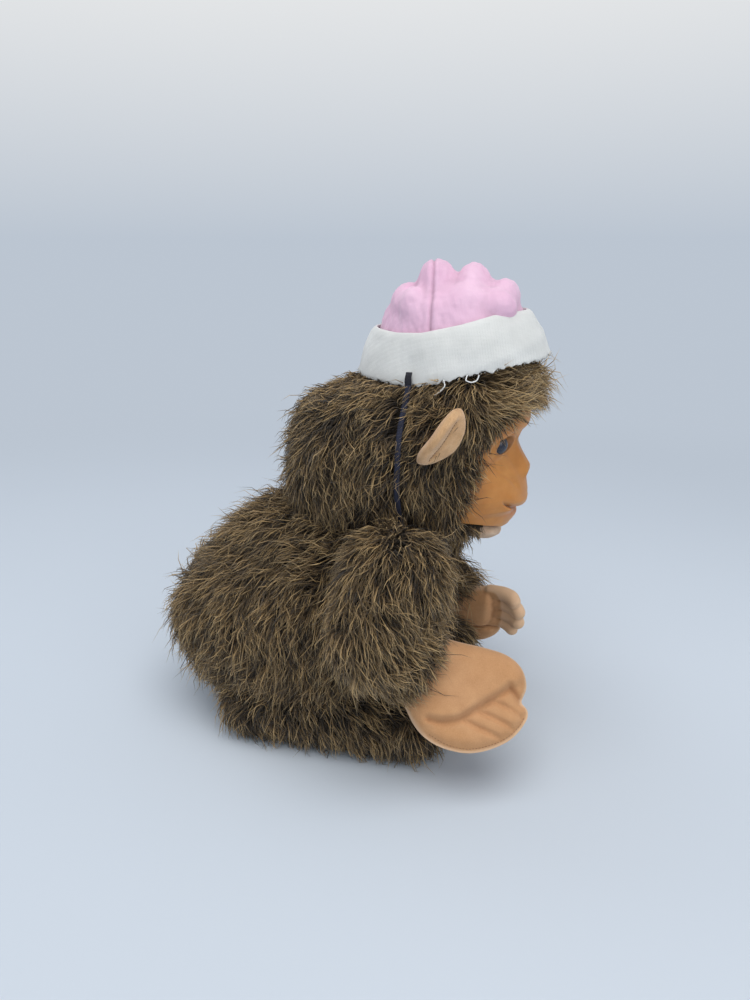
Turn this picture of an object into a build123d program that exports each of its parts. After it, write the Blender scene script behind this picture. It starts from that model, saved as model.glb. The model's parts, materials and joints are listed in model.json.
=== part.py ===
from build123d import *
import math
import os

# Sitting stuffed monkey with a hat, millimetres.  +Z is up and the face looks along -Y, so the
# monkey's left side is +X.  The origin is on the flat seat, in the mid plane.

os.makedirs("parts", exist_ok=True)


def mirrored(point):
    """The same point or direction on the other side of the mid plane."""
    x, y, z = point
    return (-x, y, z)


# ---------------------------------------------------------------- dimensions
fabric = 2.0            # thickness of the pile fabric's backing and seam allowance
gap = 0.4               # clearance between fabric and filling
seam = 0.2              # half of the clearance along a seam between two panels

# Ovals of the soft bodies: height, centre in Y, half width in X, half depth in Y.
torso_ovals = [
    (0, 35, 45, 55), (15, 42, 58, 75), (40, 44, 64, 82), (65, 42, 62, 81),
    (90, 40, 54, 66), (100, 36, 48, 55), (107, 30, 42, 46), (114, 20, 33, 34),
    (119, 6, 18, 18),
]
head_ovals = [
    (133, -2, 16, 16), (138, -5, 31, 31), (146, -7, 43, 44), (156, -9, 48, 50),
    (170, -13, 51, 55), (186, -18, 51, 58), (200, -24, 48, 59),
    (206, -31, 45.5, 53), (212, -39.5, 41, 42.5), (218, -40.5, 35, 37),
    (223, -41, 26, 27), (226.5, -41, 12, 12.5),
]
mask_ovals = [
    (122, -48, 20, 20), (131, -46, 28, 29), (138, -46, 32, 32),
    (146, -46, 35, 41), (156, -46, 36, 42.5), (166, -44, 36, 42),
    (174, -42, 38, 34), (186, -40, 40, 39), (200, -38, 36, 44.5),
    (208, -36, 28, 44),
]
chin_ovals = [(111, -50, 12, 10), (116, -50, 19.5, 15.5), (121.2, -50, 19.5, 15.5)]

# Torso: belly and back panels around the filling, with a bay over each leg.
belly_edge_y = 12.0     # side seam between the belly and the back panels
leg_bay_inner_x, leg_bay_back_y, leg_bay_top_z = 20.0, 86.0, 45.0
leg_bay_width, leg_bay_depth = 90.0, 160.0
leg_bay_below = 5.0     # how far the bays reach below the seat

# Pellet bag that weights the seat.
bag_centre, bag_semi, bag_wall = (0, 42, 60), (30, 34, 11), 0.8

# Neck: a ball of filling in two round pockets, held by a narrow fabric ring.
neck_point = (0, 2, 126)
neck_x, neck_y, _ = neck_point
neck_ball_r = 17.5
neck_pocket_r = 18.3
neck_ring_inner, neck_ring_outer = neck_pocket_r + gap, 20.5
neck_ring_z, neck_ring_h = 122.5, 6.0
tie_ring_r, tie_r, tie_z = neck_ring_outer, 1.2, 121.0

# Head: pile fabric skin, with a centre strip over the crown and down the nape.
head_end_wall = fabric + 1.5    # wall at the skin's lower and upper ends
head_fill_gap = 3 * gap         # clearance around the filling of head and face
head_fill_top_z = 211.0
gusset_half_w = 13.0
nape_box_y, nape_box_z, nape_box_depth, nape_box_height = 56, 180, 108, 120
top_box_y, top_box_z, top_box_depth, top_box_height = -40, 219, 140, 50

# Face mask, tucked under the pile fabric at its back edge.
mask_back_y = -50.0
face_opening_room = 2.0         # room around the mask in the head's skin
forehead_fill_z = 198.0         # the filling stops below the mask's forehead

# Chin: the throat plate's outline is in X and Z.
throat_outline = [(-19, 117), (-25, 131), (-27, 140.5), (27, 140.5), (25, 131), (19, 117)]
throat_plate_gap, throat_plate_t = 0.9, 2.0
chin_neck_room = 5.0            # room between the neck pocket and the chin patch

# Eyes: a safety eye with a stem and a locking washer.
eye_right = (-21, -68, 180)
eyes = (eye_right, mirrored(eye_right))
eye_r, eye_hole_r = 6.5, 6.8
stem_r, stem_end_y = 2.0, -52.0
stem_hole_r = stem_r + gap
washer_r, washer_t, washer_hole_r, washer_y = 6.0, 1.2, 2.05, -55.0
# Room in the head's filling: around the eye, around the washer, behind the stem.
eye_room, washer_room, stem_end_room = 0.2, 0.5, 1

# Ears: two oval leaves of fleece on either side of the ear's middle plane.
ear_half_len, ear_half_wid, ear_leaf_t = 18.0, 12.0, 2.0
ear_half_gap, ear_edge = 0.15, 1.2
ear_axis = (0, -0.57, 0.82)     # long axis of both ears
ear_right, ear_out_right = (-54.6, -46.4, 189.6), (-0.54, -0.69, -0.48)
ears = {
    "right": (ear_right, ear_out_right),
    "left": (mirrored(ear_right), mirrored(ear_out_right)),
}

# Arms: a round shoulder and a sleeve bent at the elbow.
shoulder_r, elbow_r, wrist_r = 22.0, 19.0, 18.0
shoulder_pocket_r = 23.5
shoulder_right = (-56, -24, 112)
shoulder_left = mirrored(shoulder_right)
sleeve_edge = 6.0               # rounding of the sleeve's open end
# wrist_gap: how far the sleeve stops short of the wrist.
arms = {
    "right": dict(
        shoulder=shoulder_right, elbow=(-70, -16, 84), wrist=(-60.1, -44.3, 64.9), wrist_gap=5.0,
    ),
    "left": dict(
        shoulder=shoulder_left, elbow=(68, -14, 74), wrist=(61.0, -44.1, 48.1), wrist_gap=6.0,
    ),
}

# Hands lie on a local plane at the wrist: x along the fingers, z out of the back of the hand.
# pad_semi: half length, half width, half thickness.
# thumb_side: sign that turns "across" of thumb and fingers into local y.
# thumb: start and end, each (along, across).  fingers: across, start along, end along.
hand_skin = 1.5
hands = {
    "right": dict(
        finger_dir=(-0.373, -0.732, -0.571), back_dir=(-0.724, -0.155, 0.672),
        pad_centre=(19, 5, 0), pad_semi=(19, 22, 10), thumb_side=1,
        thumb=((29, 31.2), (40, 28.6)), thumb_r=5.5,
        fingers=[(-13, 37.4, 41.6), (-3, 42.5, 47.8), (7, 43.5, 50.1), (17, 41.2, 49.3)],
        finger_r=4.7,
    ),
    "left": dict(
        finger_dir=(-0.202, -0.979, -0.025), back_dir=(-0.932, 0.201, -0.301),
        pad_centre=(19, 0, 0), pad_semi=(19, 19, 10), thumb_side=-1,
        thumb=((14, 27.4), (22, 27.2)), thumb_r=7.5,
        fingers=[(-18, 34.8, 39.6), (-9, 41.3, 43.8), (0, 43.2, 45.2), (9, 41.3, 43.4)],
        finger_r=4.3,
    ),
}

# Legs: straight padded rolls that lie on the floor, from hip to knee.
leg_r = 20.0
hip_right, knee_right = (-42, 62, leg_r), (-47, -26, leg_r)
legs = {
    "right": (hip_right, knee_right),
    "left": (mirrored(hip_right), mirrored(knee_right)),
}

# Hat: a turned-up cuff and a soft crown on a tilted plane.
hat_plane = Plane(origin=(0, -44.5, 219), x_dir=(1, 0, 0), z_dir=(0, 0.0965, 0.99533))
# Ovals of the hat: height, centre, half width, half depth, all on the hat's plane.
cuff_low, cuff_high = (0, 0, 46, 51.5), (24.0, 0, 36, 39)
cuff_bulge, cuff_t = 0.5, 3.0   # outward swell at mid height, wall
crown_ovals = [
    (2, 0, 40.6, 45.9), (8, 0, 38.4, 43), (16, 0, 34.6, 38.2), (24, 0, 31.4, 34.2),
    (30, 0, 30.9, 33.6), (36, 0, 30.3, 33), (46, 0, 25.5, 29), (53, 0, 15, 18),
    (56, 0, 6, 7.5),
]
crown_t = 2.0
crown_split = -2.0      # side seams of the crown, measured along the hat's depth
overshoot = 0.01        # cutters pass open ends by this much

# Elastic chin strap: half of its path, right side, from the hat to the throat.
strap_half = [
    (-44, -28, 213.2), (-54, -25, 190), (-53, -24, 160), (-38, -24, 134), (0, -26, 120),
]
strap_w, strap_t = 4.0, 0.8
bartack_right, bartack_size = (-45.4, -28, 218.5), (1.2, 3.0, 7.0)


# ------------------------------------------------------------------- helpers
def save_piece(name, part):
    part.label = name
    export_step(part, f"parts/{name}.step")


def ring_points(centre_y, half_width, half_depth, count=20):
    """Points of an oval in its own plane, starting at its +X side."""
    angles = [2 * math.pi * i / count for i in range(count)]
    return [(half_width * math.cos(a), centre_y + half_depth * math.sin(a)) for a in angles]


def loft_ovals(ovals, base=Plane.XY):
    """Closed body lofted through ovals (height, centre, half width, half depth)."""
    with BuildPart() as body:
        for height, centre_y, half_width, half_depth in ovals:
            with BuildSketch(base.offset(height)):
                with BuildLine():
                    Spline(*ring_points(centre_y, half_width, half_depth), periodic=True)
                make_face()
        loft()
    return body.part


# How much of an end offset the last three ovals at each end share.
end_share = {0: 1.0, 1: 0.5, 2: 0.2}


def oval_body(ovals, grow=0.0, ends=0.0):
    """Upright oval body, grown sideways and at its ends."""
    last = len(ovals) - 1
    grown_ovals = []
    for i, (z, centre_y, half_width, half_depth) in enumerate(ovals):
        z -= ends * end_share.get(i, 0)
        z += ends * end_share.get(last - i, 0)
        grown_ovals.append((z, centre_y, half_width + grow, half_depth + grow))
    return loft_ovals(grown_ovals)


def hat_body(ovals, grow=0.0, bottom_shift=0.0, top_shift=0.0):
    """Body on the hat's plane, grown sideways, with its end ovals moved in height."""
    shifts = [bottom_shift] + [0.0] * (len(ovals) - 2) + [top_shift]
    grown_ovals = [
        (height + shift, centre_y, half_width + grow, half_depth + grow)
        for (height, centre_y, half_width, half_depth), shift in zip(ovals, shifts)
    ]
    return loft_ovals(grown_ovals, hat_plane)


arc_mid = math.cos(math.pi / 4)     # middle of a quarter circle of radius 1


def spin_plane(start, end):
    """Plane through a limb's axis with local y along the limb, its direction and length."""
    span = Vector(end) - Vector(start)
    direction = span.normalized()
    side = direction.cross(Vector(0, 0, 1)).normalized()
    return Plane(origin=start, x_dir=side, z_dir=side.cross(direction)), direction, span.length


def capsule(start, end, start_r, end_r):
    """Round-ended roll between two points."""
    plane, direction, length = spin_plane(start, end)
    start_mid, end_mid = start_r * arc_mid, end_r * arc_mid
    with BuildPart() as body:
        with BuildSketch(plane):
            with BuildLine():
                Line((0, length + end_r), (0, -start_r))
                ThreePointArc((0, -start_r), (start_mid, -start_mid), (start_r, 0))
                Line((start_r, 0), (end_r, length))
                ThreePointArc((end_r, length), (end_mid, length + end_mid), (0, length + end_r))
            make_face()
        revolve(axis=Axis(start, direction))
    return body.part


def blunt_roll(start, end, start_r, end_r, edge):
    """Roll with a round start and a flat end whose rim is rounded."""
    plane, direction, length = spin_plane(start, end)
    start_mid = start_r * arc_mid
    edge_mid = edge * (1 - arc_mid)
    rim_start, rim_end = (end_r, length - edge), (end_r - edge, length)
    with BuildPart() as body:
        with BuildSketch(plane):
            with BuildLine():
                Line((0, length), (0, -start_r))
                ThreePointArc((0, -start_r), (start_mid, -start_mid), (start_r, 0))
                Line((start_r, 0), rim_start)
                ThreePointArc(rim_start, (end_r - edge_mid, length - edge_mid), rim_end)
                Line(rim_end, (0, length))
            make_face()
        revolve(axis=Axis(start, direction))
    return body.part


def ellipsoid(plane, centre, semi):
    """Ellipsoid on a local plane, from its three half axes."""
    ball_r = 10
    with BuildPart() as ball:
        Sphere(ball_r)
        scale(by=(semi[0] / ball_r, semi[1] / ball_r, semi[2] / ball_r))
    with BuildPart(plane) as body:
        with Locations(centre):
            add(ball.part)
    return body.part


def grown(semi, amount):
    return tuple(value + amount for value in semi)


def hollowed(outer, inner):
    with BuildPart() as shell:
        add(outer)
        add(inner, mode=Mode.SUBTRACT)
    return shell.part


def half_of(part, plane, keep):
    with BuildPart() as half:
        add(part)
        split(bisect_by=plane, keep=keep)
    return half.part


def y_plane(y):
    """Plane across the body that faces forward: its TOP side is the front."""
    return Plane.XZ.offset(-y)


def on_plane(plane, x, y):
    return plane.from_local_coords((x, y, 0))


def largest_solid(shape):
    return shape.solids().sort_by(SortBy.VOLUME)[-1]


# --------------------------------------------------------------------- torso
def torso_relief(grow):
    """Everything the torso leaves free: shoulders, neck pocket and leg bays."""
    top = leg_bay_top_z + grow
    with BuildPart() as relief:
        for shoulder in (shoulder_right, shoulder_left):
            with Locations(shoulder):
                Sphere(shoulder_pocket_r + grow)
        with Locations(neck_point):
            Sphere(neck_pocket_r + grow)
        for side in (-1, 1):
            bay_x = side * (leg_bay_inner_x - grow + leg_bay_width / 2)
            bay_y = leg_bay_back_y + grow - leg_bay_depth / 2
            with Locations((bay_x, bay_y, (top - leg_bay_below) / 2)):
                Box(leg_bay_width, leg_bay_depth, top + leg_bay_below)
    return relief.part


def torso_body(inset):
    """Torso volume, its whole surface moved inwards by the inset."""
    return hollowed(oval_body(torso_ovals, grow=-inset, ends=-inset), torso_relief(inset))


torso_skin = hollowed(torso_body(0.0), torso_body(fabric))
torso_back = half_of(torso_skin, y_plane(belly_edge_y + seam), Keep.BOTTOM)
save_piece("belly_panel", half_of(torso_skin, y_plane(belly_edge_y - seam), Keep.TOP))
save_piece("back_panel_right", half_of(torso_back, Plane.YZ.offset(-seam), Keep.BOTTOM))
save_piece("back_panel_left", half_of(torso_back, Plane.YZ.offset(seam), Keep.TOP))


def bag_body(grow):
    return ellipsoid(Plane.XY, bag_centre, grown(bag_semi, grow))


save_piece("torso_stuffing", hollowed(torso_body(fabric + gap), bag_body(gap)))
save_piece("pellet_bag", hollowed(bag_body(0), bag_body(-bag_wall)))
save_piece("pellet_fill", bag_body(-bag_wall - gap))

# ---------------------------------------------------------------------- neck
with BuildPart() as neck_tie:
    with Locations((neck_x, neck_y, tie_z)):
        Torus(tie_ring_r, tie_r)
save_piece("neck_tie", neck_tie.part)

with BuildPart() as neck_stuffing:
    with Locations(neck_point):
        Sphere(neck_ball_r)
save_piece("neck_stuffing", neck_stuffing.part)

with BuildPart() as neck_gusset:
    with BuildSketch(Plane.XY.offset(neck_ring_z)):
        with Locations((neck_x, neck_y)):
            Circle(neck_ring_outer)
            Circle(neck_ring_inner, mode=Mode.SUBTRACT)
    extrude(amount=neck_ring_h)
save_piece("neck_gusset", neck_gusset.part)

# ----------------------------------------------------------------- head skin
head_outer = oval_body(head_ovals)
face_edge = y_plane(mask_back_y + gap)      # just behind the mask's back edge


def face_space(grow):
    """The mask's volume, grown, in front of the face edge."""
    return half_of(oval_body(mask_ovals, grow=grow, ends=grow), face_edge, Keep.TOP)


face_opening = face_space(face_opening_room)

with BuildPart() as head_skin:
    add(head_outer)
    add(oval_body(head_ovals, grow=-fabric, ends=-head_end_wall), mode=Mode.SUBTRACT)
    add(face_opening, mode=Mode.SUBTRACT)
    with Locations(neck_point):
        Sphere(neck_pocket_r, mode=Mode.SUBTRACT)

head_shell = largest_solid(head_skin.part)


def gusset_zone(grow):
    """Blocks around the centre strip: down the nape and over the crown."""
    width = 2 * (gusset_half_w + grow)
    with BuildPart() as zone:
        with Locations((0, nape_box_y - grow, nape_box_z)):
            Box(width, nape_box_depth, nape_box_height)
        with Locations((0, top_box_y, top_box_z - grow)):
            Box(width, top_box_depth, top_box_height)
    return zone.part


with BuildPart() as head_gusset:
    add(head_shell)
    add(gusset_zone(-seam), mode=Mode.INTERSECT)
save_piece("head_gusset", head_gusset.part)

head_sides = hollowed(head_shell, gusset_zone(seam))


def head_panel(plane, keep):
    with BuildPart() as panel:
        add(largest_solid(half_of(head_sides, plane, keep)))
    return panel.part


save_piece("head_panel_right", head_panel(Plane.YZ.offset(-seam), Keep.BOTTOM))
save_piece("head_panel_left", head_panel(Plane.YZ.offset(seam), Keep.TOP))

# ------------------------------------------------------------- mask and eyes
# Mask: a moulded shell with an eye socket and a stem hole on each side.
with BuildPart() as face_mask:
    add(oval_body(mask_ovals))
    add(oval_body(mask_ovals, grow=-fabric, ends=-fabric), mode=Mode.SUBTRACT)
    split(bisect_by=y_plane(mask_back_y), keep=Keep.TOP)
    for eye in eyes:
        x, y, z = eye
        with Locations(eye):
            Sphere(eye_hole_r, mode=Mode.SUBTRACT)
        with Locations((x, (y + stem_end_y) / 2, z)):
            Cylinder(stem_hole_r, stem_end_y - y, rotation=(90, 0, 0), mode=Mode.SUBTRACT)
save_piece("face_mask", face_mask.part)


def eye_solid(eye):
    """Ball-shaped eye with its stem."""
    x, y, z = eye
    stem_len = stem_end_y - y
    with BuildPart() as body:
        with Locations(eye):
            Sphere(eye_r)
        with Locations((x, y + stem_len / 2, z)):
            Cylinder(stem_r, stem_len, rotation=(90, 0, 0))
    return body.part


for side_name, eye in zip(("right", "left"), eyes):
    save_piece(f"{side_name}_eye", eye_solid(eye))

with BuildPart() as eye_washers:
    for x, _, z in eyes:
        with Locations((x, washer_y, z)):
            Cylinder(washer_r, washer_t, rotation=(90, 0, 0))
            Cylinder(washer_hole_r, washer_t * 2, rotation=(90, 0, 0), mode=Mode.SUBTRACT)
save_piece("eye_washers", eye_washers.part)

# -------------------------------------------------------------- head filling
# The face part of the filling lies behind the mask, below its forehead.
mask_fill_inset = fabric + head_fill_gap
mask_core = oval_body(mask_ovals, grow=-mask_fill_inset, ends=-mask_fill_inset)
muzzle_low = half_of(mask_core, Plane.XY.offset(forehead_fill_z), Keep.BOTTOM)
muzzle_core = half_of(muzzle_low, face_edge, Keep.TOP)
head_core = oval_body(
    head_ovals, grow=-fabric - head_fill_gap, ends=-head_end_wall - head_fill_gap
)
face_room = face_space(gap)
washer_bore_end_y = stem_end_y + stem_end_room

with BuildPart() as head_stuffing:
    add(head_core)
    split(bisect_by=Plane.XY.offset(head_fill_top_z), keep=Keep.BOTTOM)
    add(face_room, mode=Mode.SUBTRACT)
    add(muzzle_core)
    with Locations(neck_point):
        Sphere(neck_pocket_r + gap, mode=Mode.SUBTRACT)
    for eye in eyes:
        x, y, z = eye
        with Locations(eye):
            Sphere(eye_hole_r + eye_room, mode=Mode.SUBTRACT)
        with Locations((x, (y + washer_bore_end_y) / 2, z)):
            Cylinder(
                washer_r + washer_room,
                washer_bore_end_y - y,
                rotation=(90, 0, 0),
                mode=Mode.SUBTRACT,
            )
save_piece("head_stuffing", head_stuffing.part)

# ---------------------------------------------------------------------- chin
# Fleece under the chin, with a plate that closes the throat behind the mask.
with BuildPart() as throat_plate:
    with BuildSketch(y_plane(mask_back_y + throat_plate_gap)):
        with BuildLine():
            Polyline(*throat_outline, close=True)
        make_face()
    extrude(amount=-throat_plate_t)

with BuildPart() as chin_patch:
    add(oval_body(chin_ovals))
    add(throat_plate.part)
    add(head_outer, mode=Mode.SUBTRACT)
    with Locations(neck_point):
        Sphere(neck_pocket_r + chin_neck_room, mode=Mode.SUBTRACT)
save_piece("chin_patch", chin_patch.part)


# ---------------------------------------------------------------------- ears
def ear_leaf(centre, out, front):
    """One leaf of an ear, its outer rim rounded, in front of or behind the middle plane."""
    plane = Plane(origin=centre, x_dir=ear_axis, z_dir=out)
    with BuildPart() as leaf:
        with BuildSketch(plane.offset(ear_half_gap if front else -ear_half_gap - ear_leaf_t)):
            Ellipse(ear_half_len, ear_half_wid)
        extrude(amount=ear_leaf_t)
        edges = leaf.edges().sort_by(Axis(plane.origin, plane.z_dir))
        fillet(edges[-1] if front else edges[0], radius=ear_edge)
    return leaf.part


for side_name, (centre, out) in ears.items():
    save_piece(f"{side_name}_ear_front", ear_leaf(centre, out, True))
    save_piece(f"{side_name}_ear_back", ear_leaf(centre, out, False))


# ---------------------------------------------------------------------- arms
def arm_body(shoulder, elbow, wrist, wrist_gap, inset=0.0):
    """Arm volume: round shoulder, elbow and a blunt wrist end."""
    forearm = (Vector(wrist) - Vector(elbow)).normalized()
    end = Vector(wrist) - forearm * (wrist_gap + inset)
    with BuildPart() as arm:
        add(capsule(shoulder, elbow, shoulder_r - inset, elbow_r - inset))
        add(blunt_roll(elbow, end, elbow_r - inset, wrist_r - inset, sleeve_edge - inset))
    return arm.part


for side_name, arm in arms.items():
    sleeve = hollowed(arm_body(**arm), arm_body(**arm, inset=fabric))
    save_piece(f"{side_name}_arm_sleeve", sleeve)
    save_piece(f"{side_name}_arm_stuffing", arm_body(**arm, inset=fabric + gap))


# --------------------------------------------------------------------- hands
def hand_pad(plane, hand, inset=0.0):
    return ellipsoid(plane, hand["pad_centre"], grown(hand["pad_semi"], -inset))


def hand_cover(plane, hand, back):
    """Back or palm half of the padded hand's cover."""
    with BuildPart() as cover:
        add(hand_pad(plane, hand))
        add(hand_pad(plane, hand, hand_skin), mode=Mode.SUBTRACT)
        if back:
            split(bisect_by=plane.offset(seam), keep=Keep.TOP)
        else:
            split(bisect_by=plane.offset(-seam), keep=Keep.BOTTOM)
    return cover.part


def thumb_roll(plane, hand):
    start, end = [
        on_plane(plane, along, hand["thumb_side"] * across) for along, across in hand["thumb"]
    ]
    return capsule(start, end, hand["thumb_r"], hand["thumb_r"])


def finger_rolls(plane, hand):
    """Four finger rolls in one piece."""
    radius = hand["finger_r"]
    with BuildPart() as rolls:
        for across, start_along, end_along in hand["fingers"]:
            y = hand["thumb_side"] * across
            start, end = on_plane(plane, start_along, y), on_plane(plane, end_along, y)
            add(capsule(start, end, radius, radius))
    return rolls.part


for side_name, hand in hands.items():
    plane = Plane(
        origin=arms[side_name]["wrist"], x_dir=hand["finger_dir"], z_dir=hand["back_dir"]
    )
    save_piece(f"{side_name}_hand_back", hand_cover(plane, hand, True))
    save_piece(f"{side_name}_hand_palm", hand_cover(plane, hand, False))
    save_piece(f"{side_name}_hand_stuffing", hand_pad(plane, hand, hand_skin + gap))
    save_piece(f"{side_name}_thumb", thumb_roll(plane, hand))
    save_piece(f"{side_name}_fingers", finger_rolls(plane, hand))


# ---------------------------------------------------------------------- legs
def leg_body(hip, knee, inset=0.0):
    return capsule(hip, knee, leg_r - inset, leg_r - inset)


for side_name, (hip, knee) in legs.items():
    sleeve = hollowed(leg_body(hip, knee), leg_body(hip, knee, fabric))
    save_piece(f"{side_name}_leg_sleeve", sleeve)
    save_piece(f"{side_name}_leg_stuffing", leg_body(hip, knee, fabric + gap))

# ----------------------------------------------------------------------- hat
cuff_height, _, mid_width, mid_depth = [
    (low + high) / 2 for low, high in zip(cuff_low, cuff_high)
]
cuff_middle = (cuff_height, 0, mid_width + cuff_bulge, mid_depth + cuff_bulge)
cuff_ovals = [cuff_low, cuff_middle, cuff_high]
cuff_inner = hat_body(cuff_ovals, grow=-cuff_t, bottom_shift=-overshoot, top_shift=overshoot)
save_piece("hat_cuff", hollowed(hat_body(cuff_ovals), cuff_inner))

# The crown is open below and closed on top.
crown_inner = hat_body(crown_ovals, grow=-crown_t, bottom_shift=-overshoot, top_shift=-crown_t)
crown = hollowed(hat_body(crown_ovals), crown_inner)


def crown_seam(offset):
    """Plane across the hat that faces backwards, beside the side seams."""
    origin = on_plane(hat_plane, 0, crown_split + offset)
    return Plane(origin=origin, z_dir=hat_plane.y_dir)


save_piece("hat_crown_front", half_of(crown, crown_seam(-seam), Keep.BOTTOM))
save_piece("hat_crown_back", half_of(crown, crown_seam(seam), Keep.TOP))

# --------------------------------------------------------------------- strap
# A flat band swept from one side of the hat under the chin to the other.
strap_points = strap_half + [mirrored(point) for point in reversed(strap_half[:-1])]
with BuildPart() as chin_strap:
    with BuildLine() as strap_line:
        Spline(*strap_points)
    strap_start = Plane(
        origin=strap_line.line @ 0, x_dir=(0, 1, 0), z_dir=strap_line.line % 0
    )
    with BuildSketch(strap_start):
        Rectangle(strap_w, strap_t)
    sweep(path=strap_line.line)
save_piece("chin_strap", chin_strap.part)

with BuildPart() as strap_bartacks:
    for position in (bartack_right, mirrored(bartack_right)):
        with Locations(position):
            Box(*bartack_size)
save_piece("strap_bartacks", strap_bartacks.part)
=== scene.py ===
"""A seated plush animal: long pile fur, a moulded vinyl face, velour hands, fleece ears and
chin, and a jersey hat on an elastic chin strap.

It sits on z = 0 with +Z up and faces -Y; its right side is at -X, its left side at +X.
Shapes are worked out in millimetres and stored in metres.
"""
import json
import math
from functools import lru_cache

import bmesh
import bpy
import numpy as np
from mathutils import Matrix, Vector
from mathutils.bvhtree import BVHTree


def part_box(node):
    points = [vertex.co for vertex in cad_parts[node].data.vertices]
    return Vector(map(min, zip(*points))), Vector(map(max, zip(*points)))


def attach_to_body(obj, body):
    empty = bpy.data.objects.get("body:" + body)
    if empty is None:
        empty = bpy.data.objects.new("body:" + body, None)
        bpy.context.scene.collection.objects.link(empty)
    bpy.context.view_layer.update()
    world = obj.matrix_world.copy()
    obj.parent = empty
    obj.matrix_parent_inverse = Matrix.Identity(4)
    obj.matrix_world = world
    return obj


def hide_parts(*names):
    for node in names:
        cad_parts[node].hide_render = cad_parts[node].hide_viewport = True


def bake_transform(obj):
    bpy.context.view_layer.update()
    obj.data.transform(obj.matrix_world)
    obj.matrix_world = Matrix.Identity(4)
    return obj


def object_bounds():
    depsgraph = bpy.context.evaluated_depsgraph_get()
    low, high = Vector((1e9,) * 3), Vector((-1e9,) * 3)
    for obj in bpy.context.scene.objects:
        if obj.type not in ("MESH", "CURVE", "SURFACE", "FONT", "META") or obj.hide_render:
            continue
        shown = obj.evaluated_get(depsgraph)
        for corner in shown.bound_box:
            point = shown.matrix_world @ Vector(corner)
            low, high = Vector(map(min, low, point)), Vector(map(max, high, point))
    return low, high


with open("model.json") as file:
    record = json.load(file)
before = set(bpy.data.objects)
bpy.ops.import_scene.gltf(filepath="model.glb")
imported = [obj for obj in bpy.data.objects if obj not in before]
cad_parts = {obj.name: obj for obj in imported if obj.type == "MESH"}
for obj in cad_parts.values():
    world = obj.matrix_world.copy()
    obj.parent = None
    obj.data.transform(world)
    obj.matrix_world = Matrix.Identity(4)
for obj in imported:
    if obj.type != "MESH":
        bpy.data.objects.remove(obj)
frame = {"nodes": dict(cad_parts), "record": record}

CAD_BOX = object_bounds()
MM = 0.001
SIDES = ("right", "left")
SIGN = {"right": -1, "left": 1}  # of x on each side
DENSITY = 1.0  # share of the fur's strands that is built

joints = {joint["name"]: joint for joint in frame["record"]["behaviour"]["joints"]}


# ------------------------------------------------------------------ CAD frame
def cad_box(part):
    """Low and high corners of a CAD part (mm)."""
    low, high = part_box(part)
    return np.array(low) * 1000.0, np.array(high) * 1000.0


def joint_place(name):
    return np.array(joints[name]["pos_m"]) * 1000.0


def joint_axis(name):
    return np.array(joints[name]["axis"], float)


def attach(ob, body, slot, *parts):
    """Give a piece its body and hide the CAD parts it stands for; slot is not used."""
    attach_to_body(ob, body)
    if parts:
        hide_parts(*parts)


# ---------------------------------------------------------------------- maths
def unit(v):
    v = np.asarray(v, float)
    size = np.linalg.norm(v, axis=-1, keepdims=True)
    return v / np.maximum(size, 1e-9)


def smooth(start, end, x):
    """Smooth step from 0 at start to 1 at end."""
    t = np.clip((np.asarray(x, float) - start) / (end - start), 0, 1)
    return t * t * (3 - 2 * t)


def bell(x, width, y=0.0, width_y=1.0):
    """Bell curve of one or two offsets, 1 at the middle."""
    return np.exp(-(x / width) ** 2 - (y / width_y) ** 2)


def dome(depth):
    """Quarter circle: 0 at depth 0, level at 1 from depth 1 on."""
    return np.sqrt(np.clip(1 - (1 - np.clip(depth, 0, 1)) ** 2, 0, 1))


def columns(*parts):
    """Arrays and numbers side by side as the last axis."""
    return np.stack(np.broadcast_arrays(*parts), -1)


def turn(count):
    """Angles of one full turn in equal steps."""
    return np.linspace(0, 2 * math.pi, count, endpoint=False)


@lru_cache(maxsize=None)
def wave_set(seed, octaves):
    """Wave directions, phases and strengths of a noise field."""
    rng = np.random.default_rng(1000 + seed)
    return [(unit(rng.normal(size=3)) * (2.0 ** octave) * rng.uniform(0.7, 1.4),
             rng.uniform(0, 6.28), 0.55 ** octave)
            for octave in range(octaves) for _ in range(5)]


def noise(points, scale, seed, octaves=3):
    """Smooth pseudo-random field of about -1..1 with waves of about scale mm."""
    out = np.zeros(len(points))
    total = 0
    for wave, phase, strength in wave_set(seed, octaves):
        out += strength * np.sin(points @ (wave * (6.28 / scale)) + phase)
        total += strength
    return out / (total * 0.45)


def line_distance(points, line):
    """Distance to a polyline, and the nearest place on it."""
    best = np.full(len(points), 1e9)
    near = np.zeros_like(points)
    for a, b in zip(line[:-1], line[1:]):
        ab = b - a
        t = np.clip(((points - a) @ ab) / (ab @ ab), 0, 1)
        place = a + t[:, None] * ab
        distance = np.linalg.norm(points - place, axis=1)
        closer = distance < best
        best[closer] = distance[closer]
        near[closer] = place[closer]
    return best, near


def depth_inside(points, outline):
    """Distance to a closed 2D outline, positive inside it."""
    best, _ = line_distance(points, np.vstack([outline, outline[:1]]))
    inside = np.zeros(len(points), bool)
    x, y = points.T
    for p, q in zip(outline, np.roll(outline, -1, axis=0)):
        crossed = (p[1] > y) != (q[1] > y)
        inside ^= crossed & (x < (q[0] - p[0]) * (y - p[1]) / (q[1] - p[1] + 1e-12) + p[0])
    return np.where(inside, best, -best)


def round_corners(points, closed=True):
    """Two rounds of corner cutting."""
    p = np.array(points, float)
    for _ in range(2):
        a, b = (p, np.roll(p, -1, axis=0)) if closed else (p[:-1], p[1:])
        cut = np.stack([a * 0.75 + b * 0.25, a * 0.25 + b * 0.75], 1).reshape(-1, 2)
        p = cut if closed else np.vstack([p[:1], cut, p[-1:]])
    return p


def run_lengths(points):
    return np.r_[0, np.cumsum(np.linalg.norm(np.diff(points, axis=0), axis=1))]


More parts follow.
